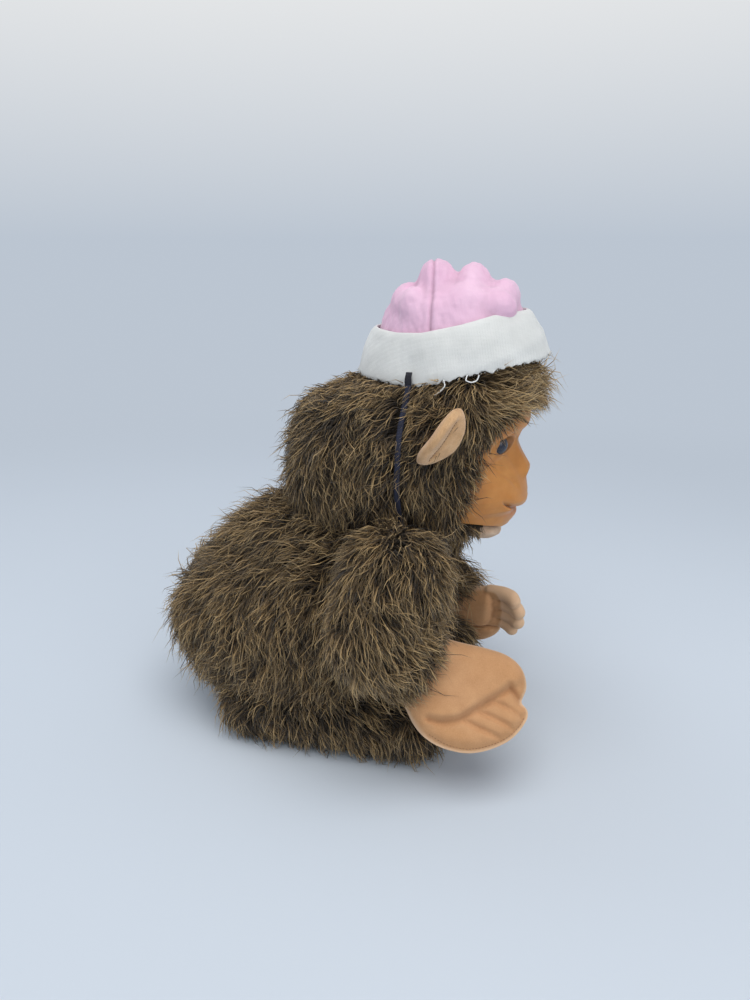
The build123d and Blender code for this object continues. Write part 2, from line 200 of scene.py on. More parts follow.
def resample(points, lengths, at):
    """Places on a polyline at distances along it."""
    return np.stack([np.interp(at, lengths, points[:, k]) for k in range(3)], 1)


def soften(line, rounds):
    """Smooth a line in place, keeping its ends."""
    for _ in range(rounds):
        line[1:-1] = (line[:-2] + 2 * line[1:-1] + line[2:]) / 4


def spline_table(table, at):
    """A table's columns, smoothly interpolated over its first column."""
    knots = table[:, 0]
    i = np.clip(np.searchsorted(knots, at) - 1, 0, len(knots) - 2)
    gap = knots[i + 1] - knots[i]
    t = (at - knots[i]) / gap
    out = [at]
    for values in table.T[1:]:
        slope = np.gradient(values, knots)
        out.append((2 * t**3 - 3 * t**2 + 1) * values[i]
                   + (t**3 - 2 * t**2 + t) * gap * slope[i]
                   + (-2 * t**3 + 3 * t**2) * values[i + 1]
                   + (t**3 - t**2) * gap * slope[i + 1])
    return out


def placed(points, placement):
    """Local points set out from an origin along three directions."""
    origin, x_dir, y_dir, z_dir = placement
    return (origin + points[:, :1] * x_dir + points[:, 1:2] * y_dir
            + points[:, 2:3] * z_dir)


# --------------------------------------------------------------------- meshes
def link(name, data):
    ob = bpy.data.objects.new(name, data)
    bpy.context.scene.collection.objects.link(ob)
    return ob


def shade_smooth(data):
    data.polygons.foreach_set("use_smooth", [True] * len(data.polygons))


def mesh(name, verts, faces, mat=None):
    """Smooth-shaded mesh object from points in millimetres."""
    data = bpy.data.meshes.new(name)
    data.from_pydata([tuple(v) for v in np.asarray(verts, float) * MM], [],
                     [tuple(int(i) for i in face) for face in faces])
    data.validate()
    data.update()
    ob = link(name, data)
    if mat:
        data.materials.append(mat)
    shade_smooth(data)
    return ob


def coords(ob):
    flat = np.empty(len(ob.data.vertices) * 3)
    ob.data.vertices.foreach_get("co", flat)
    return flat.reshape(-1, 3) * 1000.0


def set_coords(ob, points):
    ob.data.vertices.foreach_set("co", (np.asarray(points) * MM).ravel())
    ob.data.update()


def vertex_normals(ob):
    flat = np.empty(len(ob.data.vertices) * 3)
    ob.data.vertices.foreach_get("normal", flat)
    return flat.reshape(-1, 3)


def paint(ob, **fields):
    """Store 0..1 values per vertex, read by the materials."""
    for name, values in fields.items():
        layer = ob.data.attributes.new(name, "FLOAT", "POINT")
        layer.data.foreach_set("value", np.clip(np.asarray(values, float), 0, 1))


def set_material(ob, mat):
    ob.data.materials.clear()
    ob.data.materials.append(mat)


def apply_modifier(ob, kind, **settings):
    modifier = ob.modifiers.new(kind.lower(), kind)
    for key, value in settings.items():
        setattr(modifier, key, value)
    bpy.context.view_layer.update()
    evaluated = ob.evaluated_get(bpy.context.evaluated_depsgraph_get())
    new = bpy.data.meshes.new_from_object(evaluated)
    ob.modifiers.remove(modifier)
    old = ob.data
    ob.data = new
    bpy.data.meshes.remove(old)
    shade_smooth(new)


def remesh(ob, voxel):
    apply_modifier(ob, "REMESH", mode="VOXEL", voxel_size=voxel * MM, use_smooth_shade=True)


def relax(ob, steps):
    apply_modifier(ob, "SMOOTH", factor=0.5, iterations=steps)


def refine(ob):
    """One level of subdivision."""
    apply_modifier(ob, "SUBSURF", levels=1, render_levels=1)


def thicken(ob, thickness):
    apply_modifier(ob, "SOLIDIFY", thickness=thickness * MM, offset=-1.0)


def ring_faces(count, around):
    """Wall faces between stacked rings of equal size."""
    return [(i * around + j, i * around + (j + 1) % around,
             (i + 1) * around + (j + 1) % around, (i + 1) * around + j)
            for i in range(count - 1) for j in range(around)]


def ring_grid(rings):
    """Points and faces over rings (count x around x 3), closed with a fan at each end."""
    count, around = rings.shape[:2]
    faces = ring_faces(count, around)
    verts = rings.reshape(-1, 3)
    first = len(verts)
    verts = np.vstack([verts, rings[0].mean(0), rings[-1].mean(0)])
    last = (count - 1) * around
    for j in range(around):
        faces.append((first, (j + 1) % around, j))
        faces.append((first + 1, last + j, last + (j + 1) % around))
    return verts, faces


def ring_mesh(name, rings, mat):
    return mesh(name, *ring_grid(rings), mat)


def join(pieces):
    """One list of points and one of faces from several (points, faces)."""
    verts, faces = [], []
    for piece_verts, piece_faces in pieces:
        start = len(verts)
        verts += list(piece_verts)
        faces += [tuple(start + i for i in face) for face in piece_faces]
    return verts, faces


def mesh_shape(ob):
    return coords(ob), [tuple(face.vertices) for face in ob.data.polygons]


def discard(ob):
    data = ob.data
    bpy.data.objects.remove(ob)
    bpy.data.meshes.remove(data)


def oval_rings(table, count, around):
    """Rings over ovals (z, centre y, half x, half y), denser near both ends."""
    table = np.array(table, float)
    eased = (1 - np.cos(np.linspace(0, math.pi, count))) / 2
    share = 0.35 * eased + 0.65 * np.linspace(0, 1, count)
    heights = table[0, 0] + (table[-1, 0] - table[0, 0]) * share
    z, centre_y, half_x, half_y = (c[:, None] for c in spline_table(table, heights))
    angle = turn(around)
    return columns(np.maximum(half_x, 0.5) * np.cos(angle),
                   centre_y + np.maximum(half_y, 0.5) * np.sin(angle), z)


def circle(centre, across, up, radius, around):
    angle = turn(around)[:, None]
    return centre + radius * (np.cos(angle) * across + np.sin(angle) * up)


def tube(name, points, radii, mat, around=28, rings=26, end_bulge=1.0):
    """Round-ended roll through points with a radius at each."""
    points = np.array(points, float)
    lengths = run_lengths(points)
    at = np.linspace(0, lengths[-1], rings)
    line = resample(points, lengths, at)
    soften(line, 3)
    radius = np.interp(at, lengths, radii)
    along = unit(np.gradient(line, axis=0))

    def ring(centre, axis, r):
        side = unit(np.cross(axis, [1.0, 0, 0] if abs(axis[0]) < 0.95 else [0, 1, 0]))
        return circle(centre, side, np.cross(axis, side), r, around)

    out = []
    for a in np.linspace(0.06, 1, 7)[:-1] * math.pi / 2:
        out.append(ring(line[0] - along[0] * radius[0] * math.cos(a), along[0],
                        radius[0] * math.sin(a)))
    out += [ring(*row) for row in zip(line, along, radius)]
    for a in np.linspace(0, 0.94, 7)[1:] * math.pi / 2:
        out.append(ring(line[-1] + along[-1] * radius[-1] * math.sin(a) * end_bulge,
                        along[-1], radius[-1] * math.cos(a)))
    return ring_mesh(name, np.array(out), mat)


def hollowness(ob, rounds):
    """Normals, and how far each vertex lies inside its smoothed surroundings (mm)."""
    normals = vertex_normals(ob)
    edges = np.empty(len(ob.data.edges) * 2, dtype=np.int64)
    ob.data.edges.foreach_get("vertices", edges)
    a, b = edges.reshape(-1, 2).T
    start = coords(ob)
    mean = start
    for _ in range(rounds):
        total, count = np.zeros_like(mean), np.zeros(len(mean))
        np.add.at(total, a, mean[b])
        np.add.at(total, b, mean[a])
        np.add.at(count, a, 1)
        np.add.at(count, b, 1)
        mean = total / np.maximum(count, 1)[:, None]
    return normals, np.sum((mean - start) * normals, 1)


# ----------------------------------------------------------- material helpers
def new_material(name):
    mat = bpy.data.materials.new(name)
    mat.use_nodes = True
    return mat, mat.node_tree, mat.node_tree.nodes["Principled BSDF"]


def add_node(tree, kind, **settings):
    node = tree.nodes.new(kind)
    for key, value in settings.items():
        setattr(node, key, value)
    return node


def set_inputs(node, **values):
    """Set inputs by name; an underscore stands for a space."""
    for name, value in values.items():
        node.inputs[name.replace("_", " ")].default_value = value


def feed(tree, socket, value):
    """Link an output, or set an RGB colour or a number."""
    if isinstance(value, bpy.types.NodeSocket):
        tree.links.new(value, socket)
    else:
        socket.default_value = (*value, 1) if isinstance(value, tuple) else value


def ramp(tree, fac, stops):
    """Colour ramp over (place, colour) stops."""
    node = tree.nodes.new("ShaderNodeValToRGB")
    elements = node.color_ramp.elements
    while len(elements) < len(stops):
        elements.new(0.5)
    for element, (place, colour) in zip(elements, stops):
        element.position = place
        element.color = (*colour, 1)
    tree.links.new(fac, node.inputs[0])
    return node.outputs[0]


def object_coords(tree):
    return tree.nodes.new("ShaderNodeTexCoord").outputs["Object"]


def noise_tex(tree, scale, detail=4.0, roughness=0.55):
    place = object_coords(tree)
    node = tree.nodes.new("ShaderNodeTexNoise")
    set_inputs(node, Scale=scale, Detail=detail, Roughness=roughness)
    tree.links.new(place, node.inputs["Vector"])
    return node.outputs[0]


def wave_tex(tree, place, direction, scale, distortion):
    node = add_node(tree, "ShaderNodeTexWave", wave_type="BANDS", bands_direction=direction)
    set_inputs(node, Scale=scale, Distortion=distortion, Detail=2)
    tree.links.new(place, node.inputs["Vector"])
    return node.outputs["Fac"]


def bump(tree, shader, height, strength, distance):
    node = tree.nodes.new("ShaderNodeBump")
    set_inputs(node, Strength=strength, Distance=distance)
    tree.links.new(height, node.inputs["Height"])
    tree.links.new(node.outputs[0], shader.inputs["Normal"])


def mix(tree, fac, a, b):
    node = add_node(tree, "ShaderNodeMix", data_type="RGBA")
    for index, value in ((0, fac), (6, a), (7, b)):
        feed(tree, node.inputs[index], value)
    return node.outputs[2]


def calc(tree, operation, a, b):
    node = add_node(tree, "ShaderNodeMath", operation=operation)
    feed(tree, node.inputs[0], a)
    feed(tree, node.inputs[1], b)
    return node.outputs[0]


def relief(tree, fine, coarse, coarse_weight):
    """Bump height of a fine grain over a weighted coarse one."""
    return calc(tree, "ADD", fine, calc(tree, "MULTIPLY", coarse, coarse_weight))


def painted(tree, name):
    """A field stored by paint()."""
    return add_node(tree, "ShaderNodeAttribute", attribute_name=name).outputs["Fac"]


def tint(colour, factor):
    return tuple(min(1, v * factor) for v in colour)


def grey(value):
    return (value, value, value)


# ------------------------------------------------------------------ materials
def fur_material():
    """Pile coloured by its UVs: u is the strand's tone, v runs from root to tip."""
    mat, tree, shader = new_material("pile_fur")
    uv = add_node(tree, "ShaderNodeUVMap", uv_map="OFBake")
    split = add_node(tree, "ShaderNodeSeparateXYZ")
    tree.links.new(uv.outputs[0], split.inputs[0])
    tone, along = split.outputs[0], split.outputs[1]
    dark = ramp(tree, along, [(0.0, (0.016, 0.011, 0.007)), (0.5, (0.026, 0.018, 0.011)),
                              (1.0, (0.055, 0.040, 0.025))])
    brown = ramp(tree, along, [(0.0, (0.024, 0.01552, 0.00792)),
                               (0.35, (0.075, 0.04753, 0.02024)),
                               (0.7, (0.175, 0.1135, 0.05016)), (1.0, (0.3, 0.2056, 0.1012))])
    gold = ramp(tree, along, [(0.0, (0.04, 0.02619, 0.01232)), (0.35, (0.21, 0.128, 0.04928)),
                              (0.7, (0.53, 0.354, 0.1584)), (1.0, (0.78, 0.582, 0.308))])
    to_brown = ramp(tree, tone, [(0.0, grey(0)), (0.14, grey(0)), (0.34, grey(1))])
    to_gold = ramp(tree, tone, [(0.0, grey(0)), (0.44, grey(0)), (0.90, grey(1))])
    colour = mix(tree, to_gold, mix(tree, to_brown, dark, brown), gold)
    tree.links.new(colour, shader.inputs["Base Color"])
    set_inputs(shader, Roughness=0.52, Specular_IOR_Level=0.35, Sheen_Weight=0.12)
    return mat


def backing_material():
    mat, tree, shader = new_material("fur_backing")
    grain = noise_tex(tree, scale=900, detail=3)
    # near-black: the backing cloth's own dark colour and painted shade deep in the pile
    colour = ramp(tree, grain, [(0.3, (0.010, 0.008, 0.006)), (0.7, (0.032, 0.024, 0.016))])
    tree.links.new(colour, shader.inputs["Base Color"])
    set_inputs(shader, Roughness=0.95, Specular_IOR_Level=0.1)
    bump(tree, shader, grain, strength=0.6, distance=0.0006)
    return mat


def vinyl_material():
    mat, tree, shader = new_material("moulded_vinyl")
    big = noise_tex(tree, scale=38, detail=3, roughness=0.5)
    mid = noise_tex(tree, scale=160)
    colour = ramp(tree, big, [(0.3, (0.5115, 0.1997, 0.04216)),
                              (0.55, (0.5859, 0.2465, 0.0578)),
                              (0.75, (0.6324, 0.2848, 0.0748))])
    colour = mix(tree, 0.35, colour, ramp(tree, mid, [(0.35, (0.465, 0.1785, 0.03944)),
                                                      (0.7, (0.6324, 0.289, 0.0816))]))
    # painted shade darkens the mouth line, nostrils, eye rims and the mask's top and sides
    # under the pile; painted lips are redder
    colour = mix(tree, painted(tree, "hollow"), colour, (0.22, 0.095, 0.035))
    colour = mix(tree, painted(tree, "lip"), colour, (0.56, 0.215, 0.10))
    tree.links.new(colour, shader.inputs["Base Color"])
    roughness = ramp(tree, mid, [(0.3, grey(0.36)), (0.75, grey(0.50))])
    tree.links.new(roughness, shader.inputs["Roughness"])
    set_inputs(shader, Specular_IOR_Level=0.42, Subsurface_Weight=0.12,
               Subsurface_Radius=(0.006, 0.002, 0.001), Subsurface_Scale=0.6)
    fine = noise_tex(tree, scale=1400, detail=3, roughness=0.6)
    bump(tree, shader, relief(tree, fine, mid, coarse_weight=0.8),
         strength=0.12, distance=0.0005)
    return mat


def velour_material():
    mat, tree, shader = new_material("velour")
    fine = noise_tex(tree, scale=1700, roughness=0.7)
    mid = noise_tex(tree, scale=120, detail=5, roughness=0.6)
    big = noise_tex(tree, scale=28, detail=3, roughness=0.5)
    colour = ramp(tree, mid, [(0.28, (0.494, 0.242, 0.104)), (0.55, (0.57, 0.2948, 0.1347)),
                              (0.8, (0.627, 0.3476, 0.1733))])
    colour = mix(tree, 0.35, colour, ramp(tree, big, [(0.35, (0.513, 0.2728, 0.1232)),
                                                      (0.7, (0.646, 0.3784, 0.2079))]))
    colour = mix(tree, 0.22, colour, ramp(tree, fine, [(0.3, (0.399, 0.1936, 0.0847)),
                                                       (0.75, (0.76, 0.484, 0.2772))]))
    # painted shade: darker brown in the hand's grooves
    hollow = calc(tree, "MULTIPLY", painted(tree, "hollow"), 0.62)
    colour = mix(tree, hollow, colour, (0.30, 0.135, 0.062))
    colour = mix(tree, painted(tree, "rim"), colour, (0.78, 0.53, 0.34))
    tree.links.new(colour, shader.inputs["Base Color"])
    set_inputs(shader, Roughness=0.88, Specular_IOR_Level=0.18, Sheen_Weight=0.35,
               Sheen_Roughness=0.4, Sheen_Tint=(0.95, 0.75, 0.6, 1))
    bump(tree, shader, relief(tree, fine, mid, coarse_weight=0.5),
         strength=0.35, distance=0.0005)
    return mat


def fleece_material(name, low, middle, high):
    """Mottled fleece of three shades, with painted shade in its hollows."""
    mat, tree, shader = new_material(name)
    fine = noise_tex(tree, scale=1500, detail=5, roughness=0.75)
    mid = noise_tex(tree, scale=170, roughness=0.6)
    colour = ramp(tree, mid, [(0.3, low), (0.52, middle), (0.78, high)])
    speckle = ramp(tree, fine, [(0.3, tint(low, 0.6)), (0.75, tint(high, 1.2))])
    colour = mix(tree, 0.25, colour, speckle)
    # painted shade: darker in the hollows
    colour = mix(tree, painted(tree, "hollow"), colour, tint(low, 0.4))
    tree.links.new(colour, shader.inputs["Base Color"])
    set_inputs(shader, Roughness=0.95, Specular_IOR_Level=0.12, Sheen_Weight=0.3,
               Sheen_Roughness=0.5)
    bump(tree, shader, relief(tree, fine, mid, coarse_weight=0.6),
         strength=0.6, distance=0.0008)
    return mat


def knit_material(name, low, high, rib):
    """Soft jersey: fine wales and courses, a little fuzz and slow shade changes."""
    mat, tree, shader = new_material(name)
    place = object_coords(tree)
    big = noise_tex(tree, scale=45, roughness=0.5)
    fine = noise_tex(tree, scale=2200, detail=3, roughness=0.7)
    courses = wave_tex(tree, place, "Z", scale=rib, distortion=1.2)
    wales = wave_tex(tree, place, "Y", scale=rib * 0.8, distortion=1.5)
    colour = ramp(tree, big, [(0.3, low), (0.7, high)])
    weave = calc(tree, "MULTIPLY", courses, wales)
    colour = mix(tree, calc(tree, "MULTIPLY", weave, 0.16), colour, tint(low, 0.72))
    fuzz = ramp(tree, fine, [(0.3, tint(low, 0.75)), (0.7, tint(high, 1.12))])
    colour = mix(tree, 0.10, colour, fuzz)
    # painted shade in the crown's creases and seam and along the cuff's lower edge
    colour = mix(tree, painted(tree, "hollow"), colour, tint(low, 0.55))
    tree.links.new(colour, shader.inputs["Base Color"])
    set_inputs(shader, Roughness=0.93, Specular_IOR_Level=0.15, Sheen_Weight=0.25,
               Sheen_Roughness=0.5)
    height = calc(tree, "ADD", calc(tree, "MULTIPLY", weave, 1.0), fine)
    bump(tree, shader, height, strength=0.35, distance=0.0004)
    return mat


def elastic_material():
    mat, tree, shader = new_material("woven_elastic")
    weave = wave_tex(tree, object_coords(tree), "Z", scale=420, distortion=1.0)
    grain = noise_tex(tree, scale=900, detail=3)
    colour = ramp(tree, weave, [(0.2, (0.006, 0.007, 0.014)), (0.8, (0.016, 0.022, 0.062))])
    colour = mix(tree, 0.3, colour, ramp(tree, grain, [(0.3, (0.004, 0.004, 0.008)),
                                                       (0.8, (0.03, 0.035, 0.075))]))
    tree.links.new(colour, shader.inputs["Base Color"])
    set_inputs(shader, Roughness=0.7)
    bump(tree, shader, weave, strength=0.5, distance=0.0004)
    return mat


def thread_material(name, low, high):
    mat, tree, shader = new_material(name)
    grain = noise_tex(tree, scale=2500, detail=3)
    tree.links.new(ramp(tree, grain, [(0.3, low), (0.7, high)]), shader.inputs["Base Color"])
    set_inputs(shader, Roughness=0.8)
    bump(tree, shader, grain, strength=0.5, distance=0.0003)
    return mat


def eye_material():
    mat, tree, shader = new_material("eye_gloss")
    grain = noise_tex(tree, scale=300, detail=3)
    colour = ramp(tree, grain, [(0.3, (0.004, 0.005, 0.010)), (0.7, (0.016, 0.020, 0.040))])
    tree.links.new(colour, shader.inputs["Base Color"])
    set_inputs(shader, Roughness=0.16, Coat_Weight=0.2, Coat_Roughness=0.04)
    return mat


HORIZON = (0.500, 0.560, 0.640)  # backdrop colour where it meets the floor


def floor_material():
    """Plain paper floor that fades into the backdrop with distance."""
    mat, tree, shader = new_material("paper_floor")
    mottle = noise_tex(tree, scale=1.2, detail=3, roughness=0.5)
    colour = ramp(tree, mottle, [(0.2, (0.60, 0.655, 0.72)), (0.8, (0.64, 0.695, 0.76))])
    tree.links.new(colour, shader.inputs["Base Color"])
    set_inputs(shader, Roughness=0.8, Specular_IOR_Level=0.15)
    place = object_coords(tree)
    distance = add_node(tree, "ShaderNodeVectorMath", operation="LENGTH")
    tree.links.new(place, distance.inputs[0])
    fade = add_node(tree, "ShaderNodeMapRange", interpolation_type="SMOOTHSTEP")
    set_inputs(fade, From_Min=0.28, From_Max=1.0)
    tree.links.new(distance.outputs["Value"], fade.inputs["Value"])
    glow = add_node(tree, "ShaderNodeEmission")
    feed(tree, glow.inputs[0], HORIZON)
    blend = add_node(tree, "ShaderNodeMixShader")
    for index, source in enumerate((fade, shader, glow)):
        tree.links.new(source.outputs[0], blend.inputs[index])
    tree.links.new(blend.outputs[0], tree.nodes["Material Output"].inputs[0])
    return mat


FUR = fur_material()
BACKING = backing_material()
VINYL = vinyl_material()
VELOUR = velour_material()
EAR_FLEECE = fleece_material("ear_fleece", low=(0.60, 0.34, 0.165),
                             middle=(0.73, 0.44, 0.225), high=(0.81, 0.53, 0.29))
CHIN_FLEECE = fleece_material("chin_fleece", low=(0.56, 0.34, 0.20),
                              middle=(0.74, 0.49, 0.31), high=(0.84, 0.60, 0.42))
PINK = knit_material("pink_jersey", low=(0.76, 0.46, 0.62), high=(0.86, 0.58, 0.73), rib=560)
WHITE = knit_material("white_jersey", low=(0.64, 0.645, 0.62), high=(0.78, 0.785, 0.76),
                      rib=520)
ELASTIC = elastic_material()
DARK_THREAD = thread_material("dark_thread", low=(0.004, 0.004, 0.006),
                              high=(0.02, 0.02, 0.03))
TAN_THREAD = thread_material("tan_thread", low=(0.20, 0.09, 0.04), high=(0.36, 0.19, 0.10))
WHITE_THREAD = thread_material("white_thread", low=(0.72, 0.72, 0.70),
                               high=(0.9, 0.9, 0.88))
EYE = eye_material()

# --------------------------------------------------------- covers under the fur
neck = joint_place("neck_turn")
shoulder = {side: joint_place(side + "_shoulder_swing") for side in SIDES}
wrist = {side: joint_place(side + "_wrist_bend") for side in SIDES}
hip = {side: joint_place(side + "_hip_splay") for side in SIDES}

# ovals: z, centre y, half x, half y
TORSO = [
    (1.0, 27, 27, 41), (6, 29, 33, 51), (15, 33, 42, 62), (28, 36, 54, 71),
    (42, 39.5, 62, 76.5), (65, 42, 62, 81), (90, 40, 55, 69), (100, 37, 50, 62),
    (108, 32, 46, 58), (116, 26, 43, 52), (124, 19, 38, 44), (131, 13, 30, 33),
    (134, 11, 15, 17)]
HEAD = [
    (133, 2, 20, 21), (138, 2, 32, 35), (146, -2, 43, 46), (156, -6, 48, 51.5),
    (170, -12, 51, 55), (186, -18, 51, 58), (200, -25.5, 48, 57.5), (206, -32.5, 45.5, 51.5),
    (212, -38.5, 41, 44), (218, -40.5, 34, 37), (223, -41, 24, 25), (226, -41, 9, 9.5)]
NECK = [(104, 8, 26, 30), (115, 7, 33, 37), (126, 5, 34, 37), (138, 3, 33, 35),
        (147, 2, 26, 28)]
RINGS, AROUND = ((60, 96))
# per arm: elbow's rise over the wrist, cover's stop short of the wrist, radii from the
# shoulder down; then for the pile: trim at the cuff, where it ends, seed
ARMS = {"right": dict(rise=19.0, stop=7, radii=[24.5, 21.0, 17.5],
                      trim=6.0, pile_end=-7.0, seed=8),
        "left": dict(rise=26.0, stop=9, radii=[23.0, 19.5, 16.0],
                     trim=8.5, pile_end=-12.0, seed=9)}
# per leg: knee's inset in y; extra pile length at the tip, seed
LEGS = {"right": dict(inset=20, tip_pile=6.0, seed=14),
        "left": dict(inset=10, tip_pile=2.0, seed=15)}


def outer_x(part, side, inset):
    """Place at an inset from a part's outer side."""
    low, high = cad_box(part)
    return low[0] + inset if side == "right" else high[0] - inset


def torso_mesh():
    rings = oval_rings(TORSO, RINGS, AROUND)
    points = rings.reshape(-1, 3)
    z = points[:, 2]
    bulge = noise(points, 70, seed=3, octaves=2) * 2.2 * smooth(3, 30, z)
    core = columns(0.0, 42.0, np.clip(z, 30, 100))
    points = points + unit(points - core) * bulge[:, None]
    return ring_mesh("torso_cover", points.reshape(rings.shape), BACKING)


def arm_mesh(side):
    top, bend, end, arm = shoulder[side], elbow[side], wrist[side], ARMS[side]
    return tube(side + "_arm_cover", [top, bend, end + unit(bend - end) * arm["stop"]],
                arm["radii"], BACKING, end_bulge=0.35)


def leg_mesh(side):
    top, end = hip[side], knee[side]
    ob = tube(side + "_leg_cover", [top, (top + end) / 2 + [0, 0, 0.5], end],
              [19.5, 19.8, 18.0], BACKING)
    points = coords(ob)
    points[:, 2] = np.maximum(points[:, 2], 0.9)
    set_coords(ob, points)
    return ob


elbow = {side: np.array([outer_x(side + "_arm_sleeve", side, 19.0), shoulder[side][1] + 9.0,
                         wrist[side][2] + ARMS[side]["rise"]]) for side in SIDES}
knee = {side: np.array([outer_x(side + "_leg_sleeve", side, 20),
                        cad_box(side + "_leg_sleeve")[0][1] + LEGS[side]["inset"], 20.0])
        for side in SIDES}
torso_cover = torso_mesh()
head_cover = ring_mesh("head_cover", oval_rings(HEAD, RINGS, AROUND), BACKING)
arm_cover = {side: arm_mesh(side) for side in SIDES}
leg_cover = {side: leg_mesh(side) for side in SIDES}
neck_cover = ring_mesh("neck_cover", oval_rings(NECK, 18, 48), BACKING)

attach(torso_cover, "torso", "fur", "back_panel_left", "back_panel_right", "belly_panel",
       "torso_stuffing", "pellet_bag", "pellet_fill", "neck_tie")
attach(head_cover, "head", "fur", "head_panel_left", "head_panel_right", "head_gusset",
       "head_stuffing")
attach(neck_cover, "neck", "fur", "neck_gusset", "neck_stuffing")
for covers, limb_kind in ((arm_cover, "_arm"), (leg_cover, "_leg")):
    for side in SIDES:
        limb = side + limb_kind
        attach(covers[side], limb, "fur", limb + "_sleeve", limb + "_stuffing")


# ------------------------------------------------------------------------ fur
def sample(ob, count, seed, keep=None):
    """Random points on a mesh with smooth normals, evenly by area."""
    data = ob.data
    data.calc_loop_triangles()
    total = len(data.loop_triangles)
    corners = np.empty(total * 3, dtype=np.int64)
    data.loop_triangles.foreach_get("vertices", corners)
    corners = corners.reshape(-1, 3)
    points, normals = coords(ob), vertex_normals(ob)
    a, b, c = (points[corners[:, k]] for k in range(3))
    area = np.linalg.norm(np.cross(b - a, c - a), axis=1)
    rng = np.random.default_rng(seed)
    pick = rng.choice(total, size=count, p=area / area.sum())
    u, w = rng.random(count), rng.random(count)
    flip = u + w > 1
    u[flip], w[flip] = 1 - u[flip], 1 - w[flip]
    at = a[pick] + u[:, None] * (b[pick] - a[pick]) + w[:, None] * (c[pick] - a[pick])
    na, nb, nc = (normals[corners[pick, k]] for k in range(3))
    normal = unit(na * (1 - u - w)[:, None] + nb * u[:, None] + nc * w[:, None])
    if keep is not None:
        kept = keep(at, normal)
        at, normal = at[kept], normal[kept]
    return at, normal


def rotate_about(v, axis, angle):
    """Rotate rows of v about rows of axis."""
    c, s = np.cos(angle)[:, None], np.sin(angle)[:, None]
    return (v * c + np.cross(axis, v) * s
            + axis * (np.sum(axis * v, 1, keepdims=True)) * (1 - c))


# strands stay inside the CAD's bounds plus this margin
cad_low, cad_high = (np.array(corner) * 1000.0 for corner in CAD_BOX)
MARGIN = 0.03 * (cad_high - cad_low) + 8.6
LIMIT_LOW, LIMIT_HIGH = cad_low - MARGIN, cad_high + MARGIN
PILE_FLOOR = 0.25  # lowest height of a strand's line near the ground

# a strand: three rings of three points and a tip
STRAND_FACES = [(2, 1, 0)]
STRAND_FACES += [(r + j, r + (j + 1) % 3, r + (j + 1) % 3 + 3, r + j + 3)
                 for r in (0, 3) for j in range(3)]
STRAND_FACES += [(6 + j, 6 + (j + 1) % 3, 9) for j in range(3)]
STRAND_U = np.array([0, 0.004, 0.002] * 3 + [0.001])
STRAND_V = np.array([0.0] * 3 + [0.36] * 3 + [0.70] * 3 + [1.0]) * 0.96 + 0.02


def strand_mesh(name, verts, tone):
    """One mesh of many strands; verts is strands x 10 x 3."""
    count = len(verts)
    pattern = np.concatenate([np.array(face) for face in STRAND_FACES])
    loops = (np.arange(count)[:, None] * 10 + pattern[None, :]).ravel()
    totals = np.tile([len(face) for face in STRAND_FACES], count)
    data = bpy.data.meshes.new(name)
    data.vertices.add(count * 10)
    data.vertices.foreach_set("co", (verts * MM).ravel())
    data.loops.add(len(loops))
    data.loops.foreach_set("vertex_index", loops)
    data.polygons.add(len(totals))
    data.polygons.foreach_set("loop_start", np.r_[0, np.cumsum(totals)[:-1]])
    data.polygons.foreach_set("loop_total", totals)
    data.update(calc_edges=True)
    uvs = columns(tone[:, None] + STRAND_U[pattern], STRAND_V[pattern])
    data.uv_layers.new(name="OFBake").data.foreach_set("uv", uvs.ravel())
    data.materials.append(FUR)
    shade_smooth(data)
    return link(name, data)


